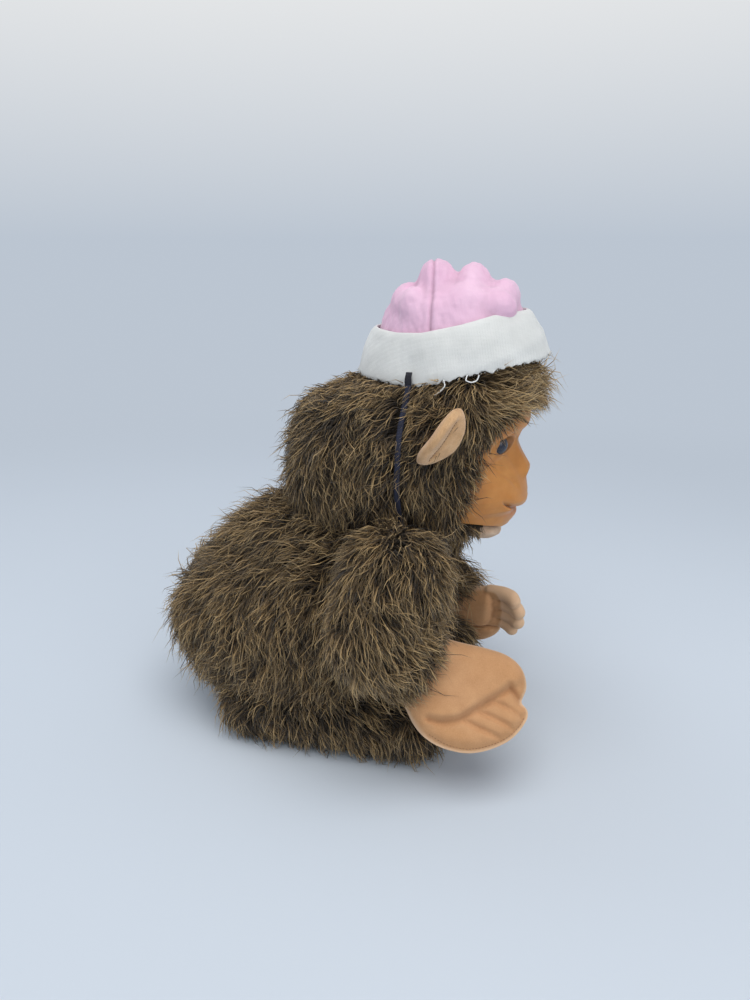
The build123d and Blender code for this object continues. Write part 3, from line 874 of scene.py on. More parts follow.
def build_strands(name, base, normal, comb, length, lift, tone, seed, body,
                  width=0.175, on_floor=False, clump=6.0, tight=0.30):
    """Pile of tapered three-sided strands.

    comb is the lie of the pile and lift how far it stands up (0..1). Tufts are about clump
    mm wide, and tight says how far their tips gather.
    """
    rng = np.random.default_rng(seed)
    n = len(base)
    comb = unit(comb - normal * np.sum(comb * normal, 1, keepdims=True))
    # strands of one tuft share a sway, a length and a shade
    wobble = np.stack([noise(base, 23, seed=s) for s in (11, 12, 13)], 1) * 4.0
    cell = np.floor((base + wobble) / clump).astype(np.int64)
    key = (cell[:, 0] * 73856093) ^ (cell[:, 1] * 19349663) ^ (cell[:, 2] * 83492791)
    tufts, tuft = np.unique(key, return_inverse=True)
    tuft_count = len(tufts)
    members = np.bincount(tuft, minlength=tuft_count)[:, None]
    tuft_sway = rng.normal(0, 0.42, tuft_count)[tuft]
    tuft_length = rng.uniform(0.86, 1.12, tuft_count)[tuft]
    tuft_tone = rng.normal(0, 0.075, tuft_count)[tuft]
    swirl = noise(base, 62, seed=21, octaves=2) * 0.75
    comb = rotate_about(comb, normal, tuft_sway + swirl + rng.normal(0, 0.34, n))
    length = length * tuft_length * rng.uniform(0.70, 1.15, n)
    # a few flyaways, and thicker guard hairs over a short undercoat
    fly = rng.random(n) < 0.06
    guard = (rng.random(n) < 0.36) | fly
    length = np.where(fly, length * 1.22, np.where(guard, length * 1.06, length * 0.86))
    lift = np.clip(lift + rng.normal(0, 0.10, n) + np.where(fly, 0.28, 0), 0.05, 0.97)
    # directions of the root, middle and tip thirds
    root_dir = unit(normal * (lift + 0.35)[:, None] + comb * (1.0 - lift)[:, None]
                    + rng.normal(0, 0.05, (n, 3)))
    sag = np.array([0, 0, -0.16])
    middle_dir = unit(normal * (lift * 0.9)[:, None] + comb * (1.05 - lift * 0.6)[:, None]
                      + sag + rng.normal(0, 0.17, (n, 3)))
    tip_dir = unit(normal * (lift * 0.50)[:, None] + comb + sag * 1.6
                   + rng.normal(0, 0.30, (n, 3)))
    p0 = base - normal * 0.6
    p1 = p0 + root_dir * (length * 0.36)[:, None]
    p2 = p1 + middle_dir * (length * 0.34)[:, None]
    p3 = p2 + tip_dir * (length * 0.34)[:, None]

    def tuft_mean(points):
        sums = [np.bincount(tuft, weights=points[:, i], minlength=tuft_count)
                for i in range(3)]
        return (np.stack(sums, 1) / members)[tuft]

    # tips of a tuft gather
    gather = (np.where(fly, 0.0, tight) * rng.uniform(0.2, 1.3, n))[:, None]
    p2, p3 = (p2 + (tuft_mean(p2) - p2) * gather * 0.45,
              p3 + (tuft_mean(p3) - p3) * gather * 0.95)
    reach = np.ones(n)
    for point in (p1, p2, p3):
        step = point - p0
        for limit, sign in ((LIMIT_HIGH, 1), (LIMIT_LOW, -1)):
            towards = step * sign > 1e-6
            share = np.where(towards, (limit - p0) / np.where(towards, step, 1.0), 1.0)
            reach = np.minimum(reach, share.min(1))
    reach = np.clip(reach, 0.05, 1.0)[:, None]
    p1, p2, p3 = (p0 + (point - p0) * reach for point in (p1, p2, p3))
    if on_floor:
        for point in (p0, p1, p2, p3):
            point[:, 2] = np.maximum(point[:, 2], PILE_FLOOR + rng.random(n) * 1.6)
    tone = np.clip(tone + tuft_tone * 1.3
                   + np.where(guard, 0.20 + rng.normal(0, 0.30, n),
                              -0.21 + rng.normal(0, 0.13, n)), 0.01, 0.985)
    side = unit(np.cross(middle_dir, rng.normal(size=(n, 3))))
    side2 = unit(np.cross(middle_dir, side))
    radius = width * rng.uniform(0.8, 1.25, n) * np.where(guard, 1.55, 1.0)
    verts = np.empty((n, 10, 3))
    for j in range(3):
        angle = 2 * math.pi * j / 3
        out = side * math.cos(angle) + side2 * math.sin(angle)
        for level, (point, taper) in enumerate(((p0, 1.0), (p1, 0.95), (p2, 0.68))):
            verts[:, 3 * level + j] = point + out * (radius * taper)[:, None]
    verts[:, 9] = p3
    if on_floor:
        verts[:, :, 2] = np.maximum(verts[:, :, 2], 0.12)
    attach(strand_mesh(name, verts, tone), body, "fur")


def split_strands(name, parts, base, normal, comb, length, lift, tone, seed, **settings):
    """Split a coat into pieces by side, depth and height (2, 4 or 8 parts)."""
    x, y, z = base.T
    comb = np.broadcast_to(comb, base.shape)
    length, lift, tone = (np.broadcast_to(v, len(base)) for v in (length, lift, tone))
    key = (x > 0).astype(int)
    if parts >= 4:
        key += 2 * (y > np.median(y)).astype(int)
    if parts >= 8:
        key += 4 * (z > np.median(z)).astype(int)
    for k in np.unique(key):
        m = key == k
        if m.sum() < 10:
            continue
        words = [name, SIDES[k & 1]]
        if parts >= 4:
            words.append("rear" if k & 2 else "front")
        if parts >= 8:
            words.append("upper" if k & 4 else "lower")
        build_strands("_".join(words), base[m], normal[m], comb[m], length[m], lift[m],
                      tone[m], seed + int(k), **settings)


STRAY = dict(tone=-0.5, clump=0.7, tight=0.0, width=0.11)  # single thin dark hairs

# the chin strap's line from the hat down to the middle of the throat: x, y, z
STRAP_HALF = np.array([(-44, -28, 213.2), (-54, -25, 190), (-53, -24, 160),
                       (-38, -24, 134), (0, -26, 120)], float)
STRAP_HALF[:, 0] *= cad_box("chin_strap")[1][0] / 55.9
STRAP_LINE = np.concatenate([STRAP_HALF, (STRAP_HALF * [-1, 1, 1])[::-1][1:]])

# the hat's rim plane
cuff_low, cuff_high = cad_box("hat_cuff")
HAT_UP = unit(joint_axis("hat_lift"))
RIM_ORIGIN = np.array([0.0, (cuff_low[1] + cuff_high[1]) / 2 - 1.2, cuff_low[2] + 5.0])

# half width of the bare face by height: z, half x
BARE_FACE = np.array([(128, 20), (132, 25), (138, 30), (145, 33), (152, 34.5), (160, 33.5),
                      (170, 31.5), (180, 31), (188, 32), (195, 29), (201, 21), (206, 8)], float)


def bare_half(z):
    return np.interp(z, BARE_FACE[:, 0], BARE_FACE[:, 1], left=-5, right=-8)


def head_keep(at, normal):
    x, y, z = at.T
    face = (y < -40) & (np.abs(x) < bare_half(z) + 1.0) & (normal[:, 1] < -0.1)
    throat = (z < 147) & (y < -30) & (np.abs(x) < 15)
    strap = line_distance(at, STRAP_LINE)[0] < 3.6
    return ~(face | (z < 136.5) | throat | strap)


def head_fur():
    at, normal = sample(head_cover, int(49000 * DENSITY), seed=5, keep=head_keep)
    x, y, z = at.T
    # over the forehead the pile is brushed forward, at the nape it falls back
    fore = smooth(-40, -70, y) * smooth(185, 205, z)
    comb = np.outer(1 - fore, [0, 0.18, -1.0]) + np.outer(fore, [0, -1.0, 0.22])
    # beside the face it sweeps back and down
    cheek = smooth(-35, -60, y) * (1 - fore)
    comb = comb + columns(np.sign(x) * 0.25 * cheek, 0.35 * cheek, -0.5 * cheek)
    # part the pile along the strap
    off, near = line_distance(at, STRAP_LINE)
    comb = unit(comb) + unit(at - near) * (0.7 * bell(off, 6.0))[:, None]
    length = 15.5 - 5.0 * cheek + 1.5 * smooth(-10, 20, y)
    length = np.where((y < -40) & (np.abs(x) < bare_half(z) + 7), 9.5, length)
    length = length + 6.0 * fore
    # shorter and flatter under the hat's rim, except at the front
    above_rim = (at - RIM_ORIGIN) @ HAT_UP
    front = smooth(-55, -72, y)
    length = np.where(above_rim > -4, np.minimum(length, 9.0 + 7.0 * front), length)
    length = length - 3.0 * bell(off, 7.0)
    lift = 0.34 + 0.10 * fore + 0.05 * smooth(0, 30, y)
    lift = np.where(above_rim > -4, 0.12 + 0.45 * front, lift)
    # lower over the rear of the crown
    rear = smooth(190, 206, z) * smooth(-12, 12, y)
    length = length * (1 - 0.42 * rear)
    lift = lift - 0.20 * rear
    # pressed flat where the hat sits, so the crown isn't bare when it lifts off
    pressed = above_rim > 6.0
    length = np.where(pressed, 6.0, length)
    lift = np.where(pressed, 0.02, lift)
    comb = np.where(pressed[:, None], np.array([0, 0.9, -0.35]), comb)
    # painted shade: darker pile low on the head, above the neck
    tone = (0.34 + 0.30 * fore + 0.05 * noise(at, 60, seed=31, octaves=2)
            + 0.06 * smooth(195, 212, z) - 0.10 * bell(z - 140, 9.0))
    split_strands("head_fur", 4, at, normal, comb, length, lift, tone, seed=100, body="head")


def torso_keep(at, normal):
    x, y, z = at.T
    drop = ((normal[:, 2] < -0.75) & (z < 6)) | ((np.hypot(x - neck[0], y - neck[1]) < 20)
                                                 & (z > 120))
    for side in SIDES:
        drop |= np.linalg.norm(at - shoulder[side], axis=1) < 19
        drop |= line_distance(at, [hip[side], knee[side]])[0] < 17
    return ~drop


def torso_fur():
    at, normal = sample(torso_cover, int(62000 * DENSITY), seed=6, keep=torso_keep)
    _, y, z = at.T
    chest = smooth(10, -20, y)
    nape = smooth(110, 123, z) * smooth(32, 52, y)
    split_strands(
        "torso_fur", 8, at, normal,
        comb=np.array([0, 0.45, -0.9]) + np.outer(chest, [0, -0.7, -0.3]),
        length=(17.5 + 2.0 * smooth(60, 110, y) + 1.2 * noise(at, 55, seed=32, octaves=2)
                - 7.0 * smooth(14, 2, z) + 5.0 * nape),
        lift=(0.33 + 0.10 * noise(at, 50, seed=33, octaves=2) * 0.6
              + 0.04 * smooth(90, 120, z) + 0.16 * nape),
        # painted shade: darker pile near the floor
        tone=(0.44 + 0.08 * noise(at, 75, seed=34, octaves=2)
              + 0.09 * smooth(60, 110, y) * smooth(60, 95, z) - 0.16 * smooth(26, 6, z)),
        seed=200, on_floor=True, body="torso")


def neck_keep(at, normal):
    return (at[:, 2] > 108) & (at[:, 2] < 144) & (np.abs(normal[:, 2]) < 0.8)


def arm_fur(side):
    top, bend, end, arm = shoulder[side], elbow[side], wrist[side], ARMS[side]
    at, normal = sample(arm_cover[side], int(15000 * DENSITY), arm["seed"])
    z = at[:, 2]
    upper, lower = unit(bend - top), unit(end - bend)
    down = smooth(0, 1, ((at - top) @ unit(end - top)) / np.linalg.norm(end - top))
    past = (at - end) @ lower  # distance beyond the wrist
    # on the left arm long pile falls over the hand from above
    over = smooth(6, 12, z - end[2]) if side == "left" else np.zeros(len(at))
    comb = (np.outer(1 - down, upper) + np.outer(down, lower) + np.array([0, 0.0, -0.35])
            + np.outer(0.9 * smooth(-20, -6, past) * over, lower))
    length = (17.0 - arm["trim"] * smooth(-18, -6, past)
              + 19.0 * smooth(-20, -6, past) * over)
    lift = (0.34 - 0.10 * smooth(-14, 0, past) + 0.12 * smooth(top[2] + 4, top[2] + 20, z)
            - 0.16 * smooth(-18, -6, past) * over)
    tone = 0.45 + 0.09 * noise(at, 55, seed=35, octaves=2)
    stray = np.flatnonzero((past > -16) & (past < -7) & (z > end[2] - 4))[:45]
    kept = past <= np.where(over > 0.5, -1.0, arm["pile_end"])
    build_strands(side + "_arm_fur", *(v[kept] for v in (at, normal, comb, length, lift, tone)),
                  seed=400 + arm["seed"], body=side + "_arm", on_floor=True)
    build_strands(side + "_cuff_stray_hairs", at[stray], normal[stray],
                  lower + comb[stray] * 0.35, length=19.0, lift=0.30,
                  seed=430 + arm["seed"], body=side + "_arm", on_floor=True, **STRAY)


def leg_fur(side):
    leg = LEGS[side]
    at, normal = sample(leg_cover[side], int(12500 * DENSITY), leg["seed"],
                        lambda at, normal: ~((normal[:, 2] < -0.7) & (at[:, 2] < 5)))
    z = at[:, 2]
    along = unit(knee[side] - hip[side])
    tip = smooth(-2, 14, (at - knee[side]) @ along)
    build_strands(
        side + "_leg_fur", at, normal,
        comb=along * 0.5 + np.array([0, 0, -0.8]) + np.outer(1.1 * tip, along),
        length=14.5 - 3.5 * smooth(12, 2, z) + leg["tip_pile"] * tip, lift=0.30,
        # painted shade: darker pile near the floor
        tone=0.34 + 0.08 * noise(at, 55, seed=36, octaves=2) - 0.12 * smooth(16, 4, z),
        seed=500 + leg["seed"], body=side + "_leg", on_floor=True)


head_fur()
torso_fur()
# the neck's pile gets a darker tone: painted shade between head and body
build_strands("neck_fur", *sample(neck_cover, int(6500 * DENSITY), seed=7, keep=neck_keep),
              comb=np.array([0, 0.3, -1.0]), length=13.0, lift=0.22, tone=0.22, seed=300,
              body="neck")
for side in SIDES:
    arm_fur(side)
for side in SIDES:
    leg_fur(side)

# ----------------------------------------------------------------------- face
# mid-line profile: z, y
PROFILE = np.array([
    (119.5, -60), (122, -64), (126, -71), (129, -76.5), (131, -79.8), (134, -81.4),
    (137, -82.0), (139.5, -82.0), (141.2, -83.6), (143.2, -87.0), (147, -88.9), (151, -88.8),
    (157.6, -87.6), (162, -87.9), (165, -87.7), (168.7, -86.3), (173.8, -83.6), (177, -82.2),
    (179.5, -82.0), (183.5, -83.4), (187.6, -85.2), (192.8, -87.4), (199.1, -89.2),
    (204, -88), (208, -84)], float)
# half width of the mask: z, half x
MASK_HALF = np.array([
    (119.5, 13), (124, 19), (129, 24.5), (135, 29.5), (142, 33.5), (150, 36.5), (158, 37.5),
    (168, 36.5), (178, 37), (188, 38.5), (198, 36.5), (204, 32), (208, 26)], float)
# the mask's rear edge: z, y
MASK_BACK = np.array([(119.5, -50), (130, -50), (140, -50), (150, -50), (165, -52),
                      (180, -54), (195, -56), (208, -60)], float)
MASK_TOP = 207.5
# the mask's lower edge: |x|, z
MASK_LOW = np.array([(0, 129.2), (8, 129.7), (14, 131.6), (20, 134.5), (26, 138.5),
                     (32, 143.0), (38, 148.0)])
# where the pile starts on the sides of the mask: z, y
FUR_EDGE = np.array([(143, -55.5), (148, -56.5), (157, -59), (163, -62.0), (176, -65.5),
                     (187, -70.5), (196, -77), (201, -84), (206, -90)])


def look_up(table, at):
    return np.interp(at, table[:, 0], table[:, 1])


def face_surface(x, z):
    """Surface y at (x, z), the mouth line's height and its strength."""
    back = look_up(MASK_BACK, z)
    ax = np.abs(x)
    s = np.clip(ax / look_up(MASK_HALF, z), 0, 1)
    # the muzzle is round, the eye region is flatter with hollow sockets
    power = np.interp(z, [120, 135, 150, 165, 175, 185, 200],
                      [2.0, 2.0, 1.9, 1.75, 2.1, 2.4, 2.5])
    y = back + (look_up(PROFILE, z) - back) * np.sqrt(np.clip(1 - s ** power, 0, 1))
    # bridge and nose stand above the cheeks
    y = y + 5.5 * bell(z - 174, 11.0) * smooth(4, 13, ax) * (1 - smooth(24, 34, ax))
    # nose: soft bump with wings and nostrils
    y = y - 1.6 * bell(z - 164, 4.5, ax, 5.5) - 1.3 * bell(z - 161.5, 3.4, ax - 6.3, 2.6)
    y = y + 1.8 * bell(z - 159.3, 1.5, ax - 3.6, 1.7)
    # groove beside the muzzle
    fold = 148 + (ax - 14) * 1.05
    y = y + 1.5 * bell(z - fold - 8, 3.2) * smooth(12, 18, ax) * (1 - smooth(27, 33, ax))
    # brow
    y = y - 2.4 * bell(z - 190, 5.5) * smooth(3, 12, ax) * (1 - smooth(26, 35, ax))
    # mouth: line rising towards the corners, upper lip over lower lip
    line = 140.6 + 0.0125 * ax ** 2
    mouth = 1 - smooth(21, 27, ax)
    y = y + 2.6 * bell(z - line, 0.95) * mouth
    y = y - 1.2 * bell(z - line - 3.4, 2.4) * mouth
    y = y - 1.4 * bell(z - line + 4.0, 2.9) * mouth
    return y, line, mouth


eye_low, eye_high = cad_box("right_eye")
EYE_X = abs((eye_low[0] + eye_high[0]) / 2)
EYE_Y = eye_low[1] + 6.5
EYE_Z = (eye_low[2] + eye_high[2]) / 2


def face_mesh():
    """Open front surface of the mask, and its points as a grid (rows upwards)."""
    across, rows = ((190, 230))
    u = np.sin(np.linspace(-1, 1, across) * math.pi / 2)
    w = np.linspace(0, 1, rows)[:, None]
    low = look_up(MASK_LOW, np.abs(u * look_up(MASK_HALF, 129 + w * 78.5)))
    z = low + w * (MASK_TOP - low)
    x = u * look_up(MASK_HALF, z) * 0.999
    x, z = x.ravel(), z.ravel()
    y, line, mouth = face_surface(x, z)
    ax = np.abs(x)
    # eye socket: a slanted almond opening with lids round the eye
    along = (ax - EYE_X) * 0.93 - (z - EYE_Z) * 0.36
    above = (ax - EYE_X) * 0.36 + (z - EYE_Z) * 0.93
    ring = np.sqrt((along / 6.4) ** 2 + (above / 3.7) ** 2)
    # the socket leans outward, so the outer half of the eye stands free
    socket_y = EYE_Y - 6.2 + (ax - EYE_X) * 0.62 - 1.3
    blend = 1 - smooth(0.9, 2.3, ring)
    y = y * (1 - blend) + socket_y * blend
    y = y - (0.9 + 0.5 * smooth(0, 3, above)) * bell(ring - 1.16, 0.20)
    y = np.where(ring < 1.0, y + (1 - smooth(0.78, 1.0, ring)) * 7.0, y)
    points = np.stack([x, y, z], 1)
    faces = [(i * across + j, i * across + j + 1, (i + 1) * across + j + 1,
              (i + 1) * across + j) for i in range(rows - 1) for j in range(across - 1)]
    ob = mesh("face_mask_vinyl", points, faces, VINYL)
    # painted shade: the mouth line, the nostrils, a rim round each eye, and the mask's top and
    # sides under the pile
    hollow = 0.85 * bell(z - line, 0.8) * mouth + 0.55 * bell(z - 159.3, 1.2, ax - 3.6, 1.5)
    hollow = (hollow + 0.7 * bell(ring - 1.0, 0.16) + 0.25 * smooth(196, 205, z)
              + 0.45 * smooth(30, 38, ax) * smooth(135, 150, z))
    paint(ob, hollow=hollow,
          lip=0.55 * bell(z - line + 3.0, 3.2) * mouth * (1 - smooth(15, 24, ax)))
    return ob, points.reshape(rows, across, 3)


def edge_keep(at, normal):
    _, y, z = at.T
    return (((y > look_up(FUR_EDGE, z) + 1.0) | (z > 203.5)) & (z > 132)
            & (normal[:, 1] < 0.6))


def face_edge_fur():
    """Pile over the mask's sides and top edge."""
    at, n = sample(face, int(12000 * DENSITY), seed=41, keep=edge_keep)
    x, _, z = at.T
    n = np.where((n[:, 0] * x < 0)[:, None] & (np.abs(n[:, :1]) > 0.3), -n, n)
    n[:, 0] = np.abs(n[:, 0]) * np.sign(x)
    up = smooth(192, 203, z)
    split_strands("face_edge_fur", 2, at, unit(n * [1, 1, 0.5]),
                  comb=columns(0.15 * np.sign(x), -0.12 - 0.9 * up, -1.0 + 1.1 * up),
                  length=10.0 + 5.0 * up - 2.5 * bell(z - 182, 10.0),
                  lift=0.26 + 0.12 * up, tone=0.36 + 0.20 * up, seed=620, body="head",
                  clump=4.5)


def edge_strip(grid):
    """Strip running back from the mask's side and lower edges, open under the chin."""
    edge = np.concatenate([grid[::-1, 0], grid[0, 1:], grid[1:, -1]])
    x, _, z = edge.T
    low = smooth(152, 140, z)
    rows = []
    for w in np.arange(8) / 7.0:
        out = np.sign(x) * (1.6 * w) * (1 - low) * smooth(6, 20, np.abs(x))
        rows.append(edge + columns(out, 22.0 * w, -3.5 * math.sin(w * math.pi * 0.6) * low)
                    + [0, 0.3, 0])
    n = len(edge)
    faces = [(k * n + j, k * n + j + 1, (k + 1) * n + j + 1, (k + 1) * n + j)
             for k in range(7) for j in range(n - 1)
             if not (abs(x[j]) < 25.0 and z[j] < 150)]
    return mesh("face_edge_backing", np.array(rows).reshape(-1, 3), faces, BACKING)


def cheek_fur():
    at, n = sample(strip, int(8000 * DENSITY), seed=43,
                   keep=lambda at, n: ~((np.abs(at[:, 0]) < 17) & (at[:, 2] < 136)))
    centre = np.array([0.0, -45.0, 168.0])
    n = np.where(np.sum(n * (at - centre), 1, keepdims=True) < 0, -n, n)
    split_strands("cheek_fur", 2, at, n, comb=columns(0.1 * np.sign(at[:, 0]), 0.15, -1.0),
                  length=12.5, lift=0.30, tone=0.34, seed=640, body="head", clump=5.0)


def stray_keep(at, normal):
    _, y, z = at.T
    return (np.abs(y - look_up(FUR_EDGE, z)) < 3.0) & (z > 144) & (z < 180)


def cheek_strays():
    """A few dark hairs that stray forward over the cheeks."""
    at, n = sample(face, 1300, seed=44, keep=stray_keep)
    n = np.where((n[:, 0] * at[:, 0] < 0)[:, None], -n, n)
    build_strands("cheek_stray_hairs", at, n,
                  comb=columns(0.0, -1.0, 0.45 * np.sin(at[:, 2] * 1.7) - 0.1),
                  length=13.0, lift=0.16, seed=660, body="head", **STRAY)


def eye_bead(side):
    centre = np.array([SIGN[side] * EYE_X, EYE_Y - 3.1, EYE_Z])
    around = turn(40)
    rings = [centre + 6.2 * (1 + 0.03 * bell(a, 0.7))
             * columns(math.sin(a) * np.cos(around), -math.cos(a), math.sin(a) * np.sin(around))
             for a in np.linspace(0.04, math.pi - 0.04, 28)]
    attach(ring_mesh(side + "_eye_bead", np.array(rings), EYE), "head", "eye_plastic",
           side + "_eye")


face, face_grid = face_mesh()
face_edge_fur()
strip = edge_strip(face_grid)
cheek_fur()
cheek_strays()
thicken(strip, 0.8)
attach(strip, "head", "fur")
thicken(face, 1.6)
attach(face, "head", "vinyl_skin", "face_mask")
for side in SIDES:
    eye_bead(side)
washers = frame["nodes"]["eye_washers"]
# the frame may hold something other than the object itself
if not hasattr(washers, "material_slots"):
    washers = bpy.data.objects["eye_washers"]
for slot in washers.material_slots:
    slot.material = WHITE_THREAD


# -------------------------------------------------------------- padded shapes
def slab(name, outline, thick, voxel):
    """Flat closed slab of an outline, remeshed evenly."""
    n = len(outline)
    verts = [(x, y, z) for z in (-thick / 2, thick / 2) for x, y in outline]
    faces = [tuple(range(n))[::-1], tuple(range(n, 2 * n))]
    faces += [(i, (i + 1) % n, n + (i + 1) % n, n + i) for i in range(n)]
    ob = mesh(name, verts, faces)
    remesh(ob, voxel)
    return ob


def padded(z, top, bottom, thick):
    """Heights of a slab's points once its faces are padded; the wall between follows."""
    height = np.where(z >= 0, top, -bottom)
    half = thick / 2
    return np.where(np.abs(z) < half - 0.3, height * np.abs(z) / half, height)


def puff(ob, pressure, cap, pin=None):
    """Short cloth run under inner pressure, with every move capped (mm)."""
    frames = 20
    before = coords(ob)
    if pin is not None:
        group = ob.vertex_groups.new(name="pin")
        for i in np.nonzero(pin > 0.02)[0]:
            group.add([int(i)], float(min(1, pin[i])), "REPLACE")
    cloth = ob.modifiers.new("Cloth", "CLOTH")
    settings = cloth.settings
    for key, value in dict(quality=6, mass=0.2, use_pressure=True,
                           uniform_pressure_force=pressure, tension_stiffness=18,
                           compression_stiffness=18, shear_stiffness=8,
                           bending_stiffness=0.6).items():
        setattr(settings, key, value)
    settings.effector_weights.gravity = 0
    cloth.collision_settings.use_collision = False
    if pin is not None:
        settings.vertex_group_mass = "pin"
    cloth.point_cache.frame_start = 1
    cloth.point_cache.frame_end = frames
    scene = bpy.context.scene
    for number in range(1, frames + 1):
        scene.frame_set(number)
    evaluated = ob.evaluated_get(bpy.context.evaluated_depsgraph_get())
    data = evaluated.to_mesh()
    after = np.empty(len(data.vertices) * 3)
    data.vertices.foreach_get("co", after)
    after = after.reshape(-1, 3) * 1000.0
    evaluated.to_mesh_clear()
    ob.modifiers.remove(cloth)
    scene.frame_set(1)
    # leave the shape alone if the cloth run broke down
    if len(after) != len(before) or not np.isfinite(after).all():
        return
    move = after - before
    distance = np.linalg.norm(move, axis=1, keepdims=True)
    set_coords(ob, before + move * np.minimum(1, cap / np.maximum(distance, 1e-9)))


def stitch_row(name, points, body, radius, dash, gap=0.45):
    """Row of small tan stitches along a path; gap is the bare share of each dash."""
    points = np.array(points, float)
    lengths = run_lengths(points)
    faces = ring_faces(4, 6) + [tuple(range(6))[::-1], tuple(range(18, 24))]
    stitches = []
    for i in range(max(2, int(lengths[-1] / dash))):
        start, end = i * dash, i * dash + dash * (1 - gap)
        if end > lengths[-1]:
            break
        line = resample(points, lengths, np.linspace(start, end, 4))
        along = unit(line[-1] - line[0])
        across = unit(np.cross(along, [0.3, 0.5, 0.8]))
        up = np.cross(along, across)
        rings = [circle(centre, across, up, radius * share, 6)
                 for centre, share in zip(line, (0.5, 1, 1, 0.5))]
        stitches.append((np.concatenate(rings), faces))
    attach(mesh(name, *join(stitches), TAN_THREAD), body, "thread")


def stitch_on(name, ob, path, placement, body, lift=0.15, **stitch):
    """Drop a local path onto a piece from its +z side and stitch along it."""
    z_dir = placement[3]
    tree = BVHTree.FromObject(ob, bpy.context.evaluated_depsgraph_get())
    points = []
    for x, y in path:
        start = placed(np.array([[x, y, 40.0]]), placement)[0] * MM
        hit = tree.ray_cast(Vector(start), Vector(-z_dir), 0.09)[0]
        if hit is not None:
            points.append(np.array(hit) * 1000 + z_dir * lift)
    if len(points) > 4:
        stitch_row(name, points, body, **stitch)


# ---------------------------------------------------------------------- hands
# Hand outlines lie in a plane: x runs from the wrist to the fingers, y towards the
# thumb and z out of the back of the hand.
# A groove is (path, depth share, width); a roll is (centre line, radii).
RIGHT_OUTLINE = [
    (-14, -14), (-4, -20), (8, -24.5), (20, -27.5), (30, -26), (38, -22), (46, -15.5),
    (51, -8), (54.5, 1), (56, 9), (55, 17), (53, 23), (49, 25.5), (45.5, 23.8), (44, 27.5),
    (42.5, 31.5), (38, 35.5), (31, 38), (22, 36.5), (12, 30), (2, 22), (-8, 15), (-15, 6)]
RIGHT_GROOVES = [
    ([(21, -20), (25, -17), (29, -12), (32, -6.5), (33, 3), (34.5, 11), (35.5, 18),
      (36.5, 25)], 0.66, 1.25),
    ([(32, -6), (40, -2.5), (47, 1.0), (52, 3.5)], 0.60, 0.95),
    ([(33, 2.5), (42, 7.5), (49, 10.5), (53, 12)], 0.60, 0.95),
    ([(35.5, 13), (42, 16.2), (48, 18.5), (52, 19.5)], 0.60, 0.95),
    ([(36, 24.5), (41, 24.2), (47, 24.8)], 0.85, 1.3)]
LEFT_OUTLINE = [
    (-14, -12), (-4, -13), (6, -13.5), (16, -15.5), (25, -18.5), (31, -19), (34, -14),
    (35, -5), (34.5, 4), (33, 10), (32.5, 15), (31.0, 20.5), (27.5, 26), (20.5, 31.5),
    (12, 33.5), (3, 32), (-5, 25), (-12, 14), (-16, 0)]
LEFT_GROOVES = [
    ([(9, 17), (14, 15.5), (20, 13.5), (26, 13.5), (32, 15)], 0.75, 1.5),
    ([(24, 12), (26.5, 8), (28, 2), (28.2, -6), (27.6, -14), (26, -19)], 0.42, 1.6)]
LEFT_FINGERS = [
    ([(25, -15.2, 0.5), (35, -16.0, 1.6), (40.5, -15.4, 3.2), (42.5, -14.2, 5.2)],
     [4.3, 4.8, 5.0, 4.6]),
    ([(25, -7.2, 0.5), (36, -7.4, 1.6), (43.5, -7.0, 3.6), (45.8, -6.0, 6.0)],
     [4.3, 4.9, 5.1, 4.7]),
    ([(25, 0.9, 0.5), (36, 1.2, 1.6), (43, 1.7, 3.8), (45.2, 2.6, 6.4)],
     [4.3, 4.9, 5.2, 4.8]),
    ([(24, 9.0, 0.3), (34, 9.6, 1.6), (39.0, 10.0, 3.6), (41.0, 10.8, 5.6)],
     [4.2, 4.7, 4.8, 4.4])]
RIGHT_TIP_SEAM = [(27, -24.0), (36, -20.8), (43.9, -15.0), (49.0, -7.6), (52.6, 1.0),
                  (54.2, 9), (53.4, 16.5), (51.4, 22.0)]
LEFT_SEAM = [(8, 18), (14, 16.2), (20, 14.2), (26, 14.0)]
SLAB_THICK = 5.0
MITT_VOXEL = 1.15


def hand_placement(side):
    """Wrist, then the directions of fingers, thumb and the back of the hand."""
    along = unit(joint_place(side + "_finger_curl") - wrist[side])
    hinge = joint_axis(side + "_wrist_bend")
    hinge = unit(hinge - along * (hinge @ along))
    # a positive bend turns the fingers towards the palm, so the back faces the other way
    back = -unit(np.cross(hinge, along))
    return wrist[side], along, -SIGN[side] * np.cross(back, along), back


def right_padding(x, y):
    """Half thickness, and width of the flat rim."""
    crease = np.interp(y, [-22, -12, -6, 3, 11, 25], [22, 29, 32, 33, 34.5, 36.5])
    fingers = smooth(-1.5, 2.5, x - crease)
    return (10.0 * (1 - fingers) + 5.6 * fingers,
            1.9 * smooth(20, 30, x) * (1 - smooth(20, 26, y)))


def left_padding(x, y):
    """Half thickness, and width of the flat rim."""
    fingers = smooth(26, 31, x)
    return (10.0 - 2.5 * smooth(12, 16, y)) * (1 - fingers) + 6.4 * fingers, 0.6


